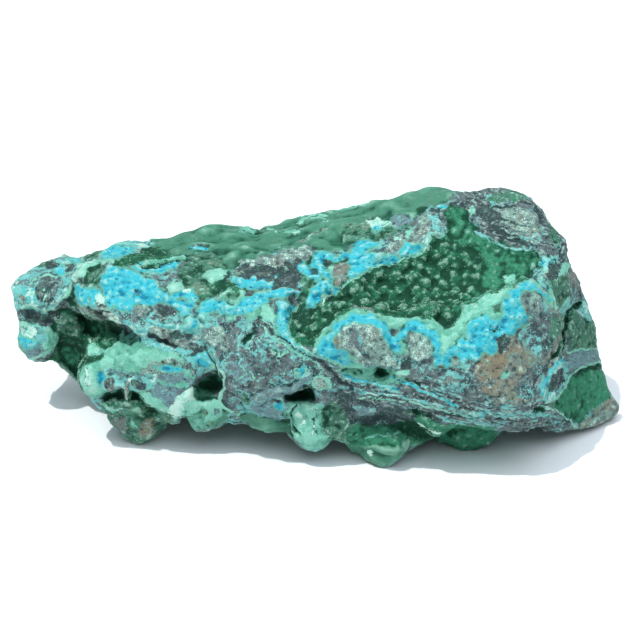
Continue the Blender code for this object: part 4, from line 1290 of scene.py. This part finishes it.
def skin_paint(colours):
    """The paint of the whole skin: the rock, then each finish over it where its mask says, then painted shade
    in its crevices and painted highlight on its crests.
    """
    paint = Paint("specimen_skin")
    c = {name: tuple(getattr(colours, name)) for name in colours.__annotations__}
    wide, patchy = paint.noise(6.0, 3.0), paint.noise(2.4, 4.0, 0.65, shift=0.3)
    fleck, speck = paint.noise(1.2, 4.0, 0.75, shift=0.9), paint.noise(0.6, 3.0, 0.75)
    dust = paint.noise(0.3, 2.0, 0.6, shift=0.5)
    streak = paint.noise(1.5, 5.0, 0.65, (3.0, 1.2, 1.0), 6.0, distortion=0.6)
    layer = paint.noise(0.8, 5.0, 0.62, (9.0, 3.0, 1.0), 13.0, distortion=0.6)
    web = paint.cells(2.6, "DISTANCE_TO_EDGE", (fleck - 0.5) * 1.6 * MM)
    beads, grains = paint.cells(1.3), paint.cells(0.6)
    # hollow and pit are how deep the mesh lies: colour laid by hollow or pit in the looks and the coat below
    # is painted shade, and colour laid by crest is painted highlight
    hollow, pit = paint.mask("hollow"), paint.mask("pit")
    crest = 1 - hollow
    waver = (patchy - 0.5) * 0.8 + (fleck - 0.5) * 0.9 + (dust - 0.5) * 0.5

    def lay(base, *films):
        """Lays films over a base: (colour, pattern, where it starts, where it is full, cover)."""
        for film, share, low, high, most in films:
            base = paint.mix(base, film, paint.ramp(share, low, high, 0.0, most))
        return base

    veins = (1 - web) + (patchy - 0.5) * 0.7 + (wide - 0.5) * 1.3
    looks = {
        "rock": lay(
            c["rock_dark"], (c["rock"], patchy + (speck - 0.5) * 0.5, 0.36, 0.54, 1.0),
            (c["lilac"], wide + (fleck - 0.5) * 0.7, 0.58, 0.7, 0.6),
            (c["rust"], streak + (wide - 0.5) * 0.5, 0.58, 0.68, 0.8),
            (c["turquoise"], fleck + (wide - 0.5) * 0.6 + (dust - 0.5) * 0.5, 0.54, 0.62, 0.85),
            (c["turquoise"], veins, 1.0, 1.06, 0.7),
            (c["mint"], speck + (fleck - 0.5) * 0.6, 0.6, 0.68, 0.8),
        ),
        # smooth green: painted shade in the hollows as the deep base, painted highlight on the crests as the
        # pale film, with real streaks and dust
        "malachite": lay(
            c["malachite_deep"],
            (c["malachite"], crest + (wide - 0.5) * 0.7 + (patchy - 0.5) * 0.3, 0.2, 0.55, 1.0),
            (c["malachite_pale"], crest + (streak - 0.5) * 0.6 + (dust - 0.5) * 0.3, 0.52, 0.85, 0.6),
            (c["olive"], wide + (dust - 0.5) * 0.5 + (fleck - 0.5) * 0.3, 0.52, 0.72, 0.55),
            (c["ash"], streak + (dust - 0.5) * 0.5 + (wide - 0.5) * 0.6, 0.58, 0.8, 0.45),
        ),
        "velvet": lay(
            c["druse"], (c["velvet"], patchy + (crest - 0.5) * 0.8 + (speck - 0.5) * 0.4, 0.24, 0.52, 1.0),
            (c["druse"], 1 - fleck + (dust - 0.5) * 0.7, 0.48, 0.72, 0.6),
            (c["malachite"], crest + (dust - 0.5) * 0.8 + (wide - 0.5) * 0.8, 0.6, 1.1, 0.5),
        ),
        "olive": lay(
            c["druse"], (c["olive"], patchy + (crest - 0.5) * 0.6, 0.32, 0.5, 1.0),
            (c["velvet"], wide + (fleck - 0.5) * 0.4, 0.5, 0.6, 0.8),
            (c["rust"], wide + (speck - 0.5) * 0.7, 0.56, 0.66, 0.55),
            (c["malachite_pale"], fleck + (crest - 0.5) * 0.5 + (dust - 0.5) * 0.4, 0.6, 0.74, 0.7),
            (c["ash"], dust + (speck - 0.5) * 0.5, 0.64, 0.72, 0.75),
        ),
        "strata": lay(
            c["rock_dark"], (c["rock"], layer + (fleck - 0.5) * 0.5, 0.36, 0.5, 1.0),
            (c["turquoise"], layer + (wide - 0.5) * 0.7, 0.55, 0.6, 0.9),
            (c["lilac"], streak + (wide - 0.5) * 0.5, 0.58, 0.64, 0.6),
            (c["mint"], layer + (speck - 0.5) * 0.6 + (patchy - 0.5) * 0.4, 0.64, 0.7, 0.8),
            (c["ash"], dust + (layer - 0.5) * 0.5, 0.62, 0.7, 0.7),
        ),
        "emerald": lay(
            c["emerald"], (c["mint"], patchy + (crest - 0.5) * 0.6 + (fleck - 0.5) * 0.3, 0.44, 0.7, 0.8),
            (c["malachite"], wide + (fleck - 0.5) * 0.3, 0.48, 0.72, 0.85),
            (c["velvet"], hollow + (fleck - 0.5) * 0.6, 0.62, 0.9, 0.8),
            (c["ash"], dust + (fleck - 0.5) * 0.5, 0.66, 0.74, 0.5),
            (c["cream"], speck + (crest - 0.5) * 0.5, 0.68, 0.84, 0.4),
        ),
        "mint": lay(
            c["mint"], (c["emerald"], patchy + (wide - 0.5) * 0.6 + (speck - 0.5) * 0.3, 0.4, 0.68, 0.9),
            (c["cream"], patchy + (crest - 0.5) * 0.7 + (fleck - 0.5) * 0.3, 0.58, 0.8, 0.5),
            (c["malachite"], hollow + (fleck - 0.5) * 0.6, 0.62, 0.86, 0.8),
            (c["malachite"], dust + (patchy - 0.5) * 0.5, 0.7, 0.8, 0.3),
        ),
        "turquoise": lay(
            c["turquoise"], (c["blue"], wide + (fleck - 0.5) * 0.6, 0.52, 0.62, 0.7),
            (c["rock"], streak + (speck - 0.5) * 0.4, 0.52, 0.6, 0.9),
            (c["cream"], patchy + (speck - 0.5) * 0.7, 0.54, 0.62, 0.75),
            (c["emerald"], wide + (dust - 0.5) * 0.8, 0.56, 0.64, 0.8),
            (c["rock_dark"], 1 - fleck + (dust - 0.5) * 0.4, 0.58, 0.66, 0.8),
            (c["cream"], veins, 1.0, 1.06, 0.7),
        ),
        "lilac": lay(
            c["lilac"], (c["rock"], patchy + (speck - 0.5) * 0.4, 0.5, 0.62, 0.7),
            (c["turquoise"], fleck + (dust - 0.5) * 0.5, 0.54, 0.62, 0.8),
            (c["rock_dark"], 1 - speck + (dust - 0.5) * 0.4, 0.56, 0.66, 0.7),
            (c["mint"], dust + (patchy - 0.5) * 0.4, 0.62, 0.7, 0.7),
        ),
        "ash": lay(
            c["ash"], (c["rock"], patchy + (speck - 0.5) * 0.8, 0.48, 0.58, 0.85),
            (c["rust"], wide + (fleck - 0.5) * 0.6, 0.52, 0.64, 0.5),
            (c["rock_dark"], 1 - speck + (dust - 0.5) * 0.5, 0.54, 0.64, 0.85),
            (c["cream"], dust + (crest - 0.5) * 0.5, 0.6, 0.7, 0.85),
        ),
        "rust": lay(
            c["rust"], (c["rock"], patchy + (speck - 0.5) * 0.6, 0.46, 0.54, 0.85),
            (c["ochre"], wide + (fleck - 0.5) * 0.9, 0.54, 0.64, 0.8),
            (c["rock_dark"], 1 - fleck + (dust - 0.5) * 0.5, 0.52, 0.62, 0.85),
            (c["emerald"], speck + (wide - 0.5) * 0.7 + (patchy - 0.5) * 0.5, 0.56, 0.66, 0.6),
            (c["ash"], dust + (patchy - 0.5) * 0.8, 0.56, 0.64, 0.85),
        ),
        "ochre": lay(
            c["ochre"], (c["rust_bright"], patchy + (speck - 0.5) * 0.8, 0.5, 0.62, 0.8),
            (c["rust"], fleck + (wide - 0.5) * 0.6, 0.46, 0.56, 0.9),
            (c["emerald"], patchy + (fleck - 0.5) * 0.8 + (speck - 0.5) * 0.5, 0.58, 0.68, 0.6),
            (c["rock_dark"], 1 - speck + (fleck - 0.5) * 0.6, 0.54, 0.64, 0.8),
            (c["ash"], dust + (crest - 0.5) * 0.6, 0.6, 0.7, 0.8),
        ),
        # dark druse between the bubbles as painted shade, bubble green on their sides, and painted sheen with
        # real dust on their tops
        "druse": lay(
            c["druse"], (c["bubble"], crest + (speck - 0.5) * 0.5 + (patchy - 0.5) * 0.4, 0.3, 0.7, 1.0),
            (
                c["bubble_top"], crest + (dust - 0.5) * 2.0 + (wide - 0.5) * 1.4 + (speck - 0.5) * 0.5,
                0.9, 1.6, 0.6,
            ),
        ),
        # blue crust: painted shade of deep blue in its hollows, and painted highlight of mint on its crests
        "blue": lay(
            c["blue"], (c["blue_deep"], hollow + (patchy - 0.5) * 0.9 + (fleck - 0.5) * 0.5, 0.46, 0.9, 0.95),
            (c["turquoise"], streak + (wide - 0.5) * 0.6 + (speck - 0.5) * 0.5, 0.52, 0.68, 0.7),
            (c["mint"], fleck + (crest - 0.5) * 0.5 + (dust - 0.5) * 0.6, 0.58, 0.76, 0.5),
            (c["rock_dark"], 1 - fleck + (dust - 0.5) * 0.3, 0.66, 0.74, 0.7),
        ),
        "cream": lay(
            c["cream"], (c["mint"], patchy + (speck - 0.5) * 0.6, 0.5, 0.62, 0.9),
            (c["emerald"], hollow + (fleck - 0.5), 0.62, 0.9, 0.8),
        ),
        "umber": lay(
            c["umber"], (c["rock"], patchy + (speck - 0.5) * 0.8, 0.48, 0.64, 0.75),
            (c["olive"], fleck + (wide - 0.5) * 0.5, 0.54, 0.64, 0.7),
            (c["ash"], dust + (speck - 0.5) * 0.6, 0.6, 0.7, 0.7),
        ),
    }
    coat = looks["rock"]
    for order, finish in enumerate(FINISHES):
        share = paint.mask(finish) + (waver if order % 2 else waver * -1.0)
        if finish == "blue":
            coat = lay(coat, (c["emerald"], share, 0.2, 0.34, 0.8))
        coat = lay(coat, (looks[finish], share, 0.42, 0.56, 1.0))
    smooth = paint.mask("mint") + paint.mask("emerald") + paint.mask("malachite")
    green = smooth + paint.mask("druse") + paint.mask("velvet") + paint.mask("olive")
    # the colour of the painted shade: dark druse on green finishes, umber elsewhere, deep blue on the blue
    deep = paint.mix(c["umber"], c["druse"], paint.ramp(green, 0.3, 0.6))
    deep = paint.mix(deep, c["blue_deep"], paint.ramp(paint.mask("blue"), 0.4, 0.6))
    # painted shade in the hollows and pits, and painted highlight of cream on the crests
    coat = lay(
        coat, (deep, hollow + (fleck - 0.5) * 0.5, 0.62, 0.95, 0.5),
        (deep, pit + (speck - 0.5) * 0.4, 0.58, 0.88, 0.8),
        (c["cream"], (1 - pit) + (dust - 0.5) * 0.6 + smooth * -0.15, 0.62, 1.0, 0.4),
    )
    roughness = paint.ramp(smooth + (speck - 0.5) * 0.3, 0.2, 0.8, 0.82, 0.6)
    height = (1 - beads) * 0.4 + (1 - grains) * 0.4 + speck * 0.8 + fleck * 0.6
    return paint.finish(coat, roughness, height, 0.4, 0.8)


def crust_paint(colours):
    """Bright blue grains, lighter on their tops and darker below as painted light and shade."""
    paint = Paint("chrysocolla_crust")
    crown, shade = paint.mask("crown"), paint.mask("shade")
    dust, patchy = paint.noise(0.35, 3.0, 0.7), paint.noise(2.4, 3.0)
    # painted shade below and painted highlight on the top of every grain, with tone that differs at random
    tint = paint.mix(
        tuple(colours.blue_deep), tuple(colours.blue),
        paint.ramp(crown + (patchy - 0.5) * 1.4 + (shade - 0.5) * 0.8, -0.1, 0.7),
    )
    tint = paint.mix(tint, tuple(colours.mint), paint.ramp(crown + (dust - 0.5) * 1.4, 0.95, 1.25, 0.0, 0.5))
    return paint.finish(tint, 0.7, dust, 0.08, 0.5)


def crystal_paint(colours):
    """Pale glassy crystals."""
    paint = Paint("loose_crystals")
    shade, patchy = paint.mask("shade"), paint.noise(3.0, 2.0)
    share = paint.ramp(shade + (patchy - 0.5), 0.3, 0.9)
    # the crystals take the pale colour of the bubble tops as their own tint
    tint = paint.mix(tuple(colours.bubble_top), tuple(colours.ash), share)
    return paint.finish(tint, 0.3, patchy, 0.02, 0.2)


def floor_paint(colours):
    """Plain pale floor with a barely visible mottle."""
    paint = Paint("pale_floor")
    fleck = paint.noise(400.0, 2.0)
    base = tuple(colours.floor)
    tint = paint.mix(base, tuple(v * 0.985 for v in base), fleck)
    return paint.finish(tint, 0.9, fleck, 0.01, 0.1)


def dress(piece, material):
    """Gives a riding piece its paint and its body."""
    piece.data.materials.clear()
    piece.data.materials.append(material)
    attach(piece, BODY)


def scatter(places, radii, crowding, chance):
    """Picks places, in a shuffled order, that keep a gap of this share of their radii together."""
    cell = 2 * max(radii)
    taken, chosen = {}, []
    for index in chance.permutation(len(places)):
        place, radius = places[index], radii[index]
        key = tuple(np.floor(place / cell).astype(int))
        crowd = [
            other for step in np.ndindex(3, 3, 3) for other in taken.get(tuple(np.add(key, step) - 1), ())
        ]
        if all(np.linalg.norm(place - p) > crowding * (radius + r) for p, r in crowd):
            taken.setdefault(key, []).append((place, radius))
            chosen.append(index)
    return np.array(chosen, int)


def ball(subdivisions):
    """Points and faces of one round grain, modelled once and copied."""
    deselect()
    bpy.ops.mesh.primitive_ico_sphere_add(subdivisions=subdivisions, radius=1.0)
    seed = bpy.context.object
    flat = np.empty(len(seed.data.vertices) * 3)
    seed.data.vertices.foreach_get("co", flat)
    faces = np.array([tuple(p.vertices) for p in seed.data.polygons])
    bpy.data.objects.remove(seed)
    return flat.reshape(-1, 3), faces


def grains(name, places, normals, radii, rise, subdivisions, chance):
    """One mesh of round grains, each half sunk into the skin."""
    points, faces = ball(subdivisions)
    stretch = chance.uniform(0.8, 1.25, (len(places), 1, 3))
    spots = (chance.uniform(0.0, 90.0, (len(places), 1, 3)) + points).reshape(-1, 3)
    lumpy = 1 + 0.3 * clouds(spots, 0.9).reshape(len(places), len(points), 1)
    local = points[None] * radii[:, None, None] * stretch * lumpy
    centres = places + normals * (rise * radii)[:, None]
    verts = above_floor((centres[:, None] + local).reshape(-1, 3))
    # how far each point faces out from the skin, which the crust paint turns into painted light on the tops
    # and painted shade below
    crown = np.einsum("kvj,kj->kv", np.broadcast_to(points, local.shape), normals).ravel()
    shade = np.repeat(chance.uniform(0.0, 1.0, len(places)), len(points))
    all_faces = (faces[None] + (np.arange(len(places)) * len(points))[:, None, None]).reshape(-1, 3)
    mesh = bpy.data.meshes.new(name)
    mesh.from_pydata(verts * MM, [], all_faces)
    mesh.shade_smooth()
    store(mesh, "crown", crown)
    store(mesh, "shade", shade)
    piece = bpy.data.objects.new(name, mesh)
    bpy.context.scene.collection.objects.link(piece)
    return piece


def druse_lumps(mesh, masks, front, sizes):
    """Round lumps that line the open druse, large in its middle and small around it."""
    chance = np.random.RandomState(sizes.seed)
    places, normals = points_of(mesh), normals_of(mesh)
    pixels = pixels_of(places)
    spots = np.flatnonzero(
        (masks["druse"] + masks["velvet"] > FULL_MASK) & (front > IN_VIEW) & inside(pixels, DRUSE_OUTLINE)
    )
    grapes = inside(pixels[spots], BUBBLE_OUTLINE)
    small, large = sizes.bubble_small / MM, sizes.bubble_large / MM
    radii = chance.uniform(small, large, len(spots)) * np.where(grapes, 1.0, OUTER_SIZE)
    order = scatter(places[spots], radii, BUBBLE_CROWDING, chance)
    order = order[chance.uniform(0.0, 1.0, len(order)) < np.where(grapes[order], 1.0, OUTER_CHANCE)]
    chosen = spots[order]
    return grains("druse_lumps", places[chosen], normals[chosen], radii[order], SUNK, BUBBLE_BALL, chance)


def mask_of(mesh, name):
    """One of the masks stored on the mesh."""
    values = np.empty(len(mesh.vertices), np.float32)
    mesh.attributes[name].data.foreach_get("value", values)
    return values


# Skin --------------------------------------------------------------------------------------------


def copy_of_solid(name):
    """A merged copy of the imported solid, under a new name."""
    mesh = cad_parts[NODE].data.copy()
    mesh.materials.clear()
    piece = bpy.data.objects.new(name, mesh)
    bpy.context.scene.collection.objects.link(piece)
    make_active(piece)
    bpy.ops.object.mode_set(mode="EDIT")
    bpy.ops.mesh.select_all(action="SELECT")
    bpy.ops.mesh.remove_doubles(threshold=MERGE_GAP)
    bpy.ops.object.mode_set(mode="OBJECT")
    return piece


def rough_out(skin, sizes):
    """Gives the copy its outline, the patches, lines and holes of the front, and the druse."""
    apply_modifier(skin, "REMESH", mode="VOXEL", voxel_size=sizes.skin_grid)
    apply_modifier(skin, "SMOOTH", factor=0.5, iterations=ROUGH_SMOOTHING)
    move_points(skin.data, nudged(points_of(skin.data)))
    places, normals, edges, blend, masks, relief = finishes_of(skin.data, sizes)
    relief = spread(relief * blend, edges, 1)[:, None]
    carved = np.where(relief < DEEP, TO_VIEW * (relief - DEEP) * CARVE, 0.0)
    move_points(skin.data, places + normals * np.maximum(relief, DEEP) + carved)
    lumps = druse_lumps(skin.data, masks, blend, sizes)
    make_active(skin)
    lumps.select_set(True)
    bpy.ops.object.join()


def add_fine_relief(skin, sizes):
    """Meshes the skin finely, gives each finish its own relief, and thins the hidden sides."""
    apply_modifier(skin, "REMESH", mode="VOXEL", voxel_size=sizes.detail_grid)
    apply_modifier(skin, "SMOOTH", factor=0.5, iterations=FINE_SMOOTHING)
    places, normals, _, blend, masks, _ = finishes_of(skin.data, sizes)
    move_points(skin.data, above_floor(places + normals * fine_relief(places, masks)[:, None]))
    make_active(skin)
    hidden = blend < UNSEEN
    edit_faces(skin, np.array([hidden[list(p.vertices)].all() for p in skin.data.polygons]))
    bpy.ops.mesh.decimate(ratio=THINNING)
    bpy.ops.mesh.select_all(action="SELECT")
    bpy.ops.mesh.quads_convert_to_tris()
    bpy.ops.object.mode_set(mode="OBJECT")
    drop_fins(skin)


def keep_masks(skin, sizes):
    """Stores on the finished mesh the masks that its paint reads."""
    places, normals, edges, blend, masks, _ = finishes_of(skin.data, sizes)
    places = above_floor(places)
    move_points(skin.data, places)
    for finish, values in masks.items():
        store(skin.data, finish, values)
    store(skin.data, "front", blend)
    trust = THINNED_DEPTH + (1 - THINNED_DEPTH) * blend
    for name, rounds, full in DEPTHS:
        depth = hollows_of(places, normals, edges, rounds, full)
        store(skin.data, name, 0.5 + (depth - 0.5) * trust)


# Operators ---------------------------------------------------------------------------------------


class SPECIMEN_OT_skin(bpy.types.Operator):
    """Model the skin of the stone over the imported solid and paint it"""

    bl_idname = "specimen.skin"
    bl_label = "Stone skin"

    def execute(self, context):
        sizes = context.scene.specimen_sizes
        skin = copy_of_solid("stone_skin")
        rough_out(skin, sizes)
        add_fine_relief(skin, sizes)
        keep_masks(skin, sizes)
        skin.data.shade_smooth()
        dress(skin, skin_paint(context.scene.specimen_colours))
        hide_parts(NODE)
        return {"FINISHED"}


class SPECIMEN_OT_crust(bpy.types.Operator):
    """Roughen the blue crust with grains"""

    bl_idname = "specimen.crust"
    bl_label = "Blue grains"

    def execute(self, context):
        sizes = context.scene.specimen_sizes
        chance = np.random.RandomState(sizes.seed + 1)
        mesh = bpy.data.objects["stone_skin"].data
        places, normals = points_of(mesh), normals_of(mesh)
        spots = np.flatnonzero(mask_of(mesh, "blue") > BLUE_MASK)
        radii = sizes.grain / MM * chance.uniform(SMALLEST, 1.0, len(spots))
        order = scatter(places[spots], radii, GRAIN_CROWDING, chance)
        order = order[chance.uniform(0.0, 1.0, len(order)) < GRAIN_CHANCE]
        chosen = spots[order]
        piece = grains(
            "blue_grains", places[chosen], normals[chosen], radii[order], SUNK, GRAIN_BALL, chance
        )
        dress(piece, crust_paint(context.scene.specimen_colours))
        return {"FINISHED"}


class SPECIMEN_OT_crystals(bpy.types.Operator):
    """Dust the rough finishes with tiny crystals"""

    bl_idname = "specimen.crystals"
    bl_label = "Loose crystals"

    def execute(self, context):
        sizes = context.scene.specimen_sizes
        chance = np.random.RandomState(sizes.seed + 2)
        mesh = bpy.data.objects["stone_skin"].data
        places, normals = points_of(mesh), normals_of(mesh)
        rough = sum(mask_of(mesh, finish) for finish in CRYSTAL_FINISHES)
        depth = mask_of(mesh, "hollow")
        likely = rough * np.where(mask_of(mesh, "front") > IN_VIEW, 1.0, HIDDEN_WEIGHT) * (depth < OPEN_DEPTH)
        likely *= 1 + CREST_WEIGHT * (mask_of(mesh, "druse") > 0.5) * (depth < CREST_DEPTH)
        chosen = chance.choice(len(places), CRYSTALS, replace=False, p=likely / likely.sum())
        radii = sizes.crystal / MM * chance.uniform(SMALLEST, 1.0, CRYSTALS)
        piece = grains("loose_crystals", places[chosen], normals[chosen], radii, PROUD, GRAIN_BALL, chance)
        dress(piece, crystal_paint(context.scene.specimen_colours))
        return {"FINISHED"}


class SPECIMEN_OT_stage(bpy.types.Operator):
    """Set up the floor, the lights and the camera"""

    bl_idname = "specimen.stage"
    bl_label = "Stage"

    def execute(self, context):
        scene = context.scene
        deselect()
        bpy.ops.mesh.primitive_plane_add(size=scene.specimen_sizes.floor_width)
        floor = context.object
        floor.name = "floor"
        floor.data.materials.append(floor_paint(scene.specimen_colours))

        bpy.ops.object.light_add(type="SUN")
        sun = context.object
        sun.data.energy = SUN_STRENGTH
        sun.data.angle = math.radians(SUN_SOFTNESS)
        sun.rotation_euler = Vector(SUN_TRAVEL).to_track_quat("-Z", "Y").to_euler()

        bpy.ops.object.light_add(type="AREA")
        panel = context.object
        panel.data.energy = PANEL_POWER
        panel.data.size = PANEL_WIDTH
        panel.data.color = SKY_COLOUR
        panel.location = PANEL_PLACE
        panel.rotation_euler = (-panel.location).to_track_quat("-Z", "Y").to_euler()

        world = bpy.data.worlds.new("studio")
        world.use_nodes = True
        world.node_tree.nodes["Background"].inputs["Color"].default_value = (*SKY_COLOUR, 1.0)
        world.node_tree.nodes["Background"].inputs["Strength"].default_value = SKY_STRENGTH
        scene.world = world

        bpy.ops.object.camera_add()
        camera = context.object
        camera.data.sensor_width = SENSOR
        camera.data.lens = SENSOR * FOCAL_PIXELS / FRAME_HEIGHT
        camera.location = EYE * MM
        view = Vector(VIEW_TARGET) * MM - camera.location
        camera.rotation_euler = view.to_track_quat("-Z", "Y").to_euler()
        camera.data.clip_end = CLIP_END
        scene.camera = camera
        scene.view_settings.view_transform = "Standard"
        return {"FINISHED"}


class SPECIMEN_PT_panel(bpy.types.Panel):
    """Lists the pieces of the specimen and their settings"""

    bl_label = "Chrysocolla specimen"
    bl_space_type = "VIEW_3D"
    bl_region_type = "UI"
    bl_category = "Specimen"

    def draw(self, context):
        for operator in OPERATORS:
            self.layout.operator(operator.bl_idname)
        for group in (context.scene.specimen_sizes, context.scene.specimen_colours):
            for name in group.bl_rna.properties.keys():
                if name not in ("rna_type", "name"):
                    self.layout.prop(group, name)


OPERATORS = (SPECIMEN_OT_skin, SPECIMEN_OT_crust, SPECIMEN_OT_crystals, SPECIMEN_OT_stage)
CLASSES = (SpecimenColours, SpecimenSizes, *OPERATORS, SPECIMEN_PT_panel)


def register():
    """Makes the classes and the settings known."""
    for cls in CLASSES:
        bpy.utils.register_class(cls)
    bpy.types.Scene.specimen_sizes = PointerProperty(type=SpecimenSizes)
    bpy.types.Scene.specimen_colours = PointerProperty(type=SpecimenColours)


def unregister():
    """Takes them away again."""
    del bpy.types.Scene.specimen_colours
    del bpy.types.Scene.specimen_sizes
    for cls in reversed(CLASSES):
        bpy.utils.unregister_class(cls)


def main():
    """Builds every piece and the stage."""
    register()
    bpy.ops.specimen.skin()
    bpy.ops.specimen.crust()
    bpy.ops.specimen.crystals()
    bpy.ops.specimen.stage()


if __name__ == "__main__":
    main()
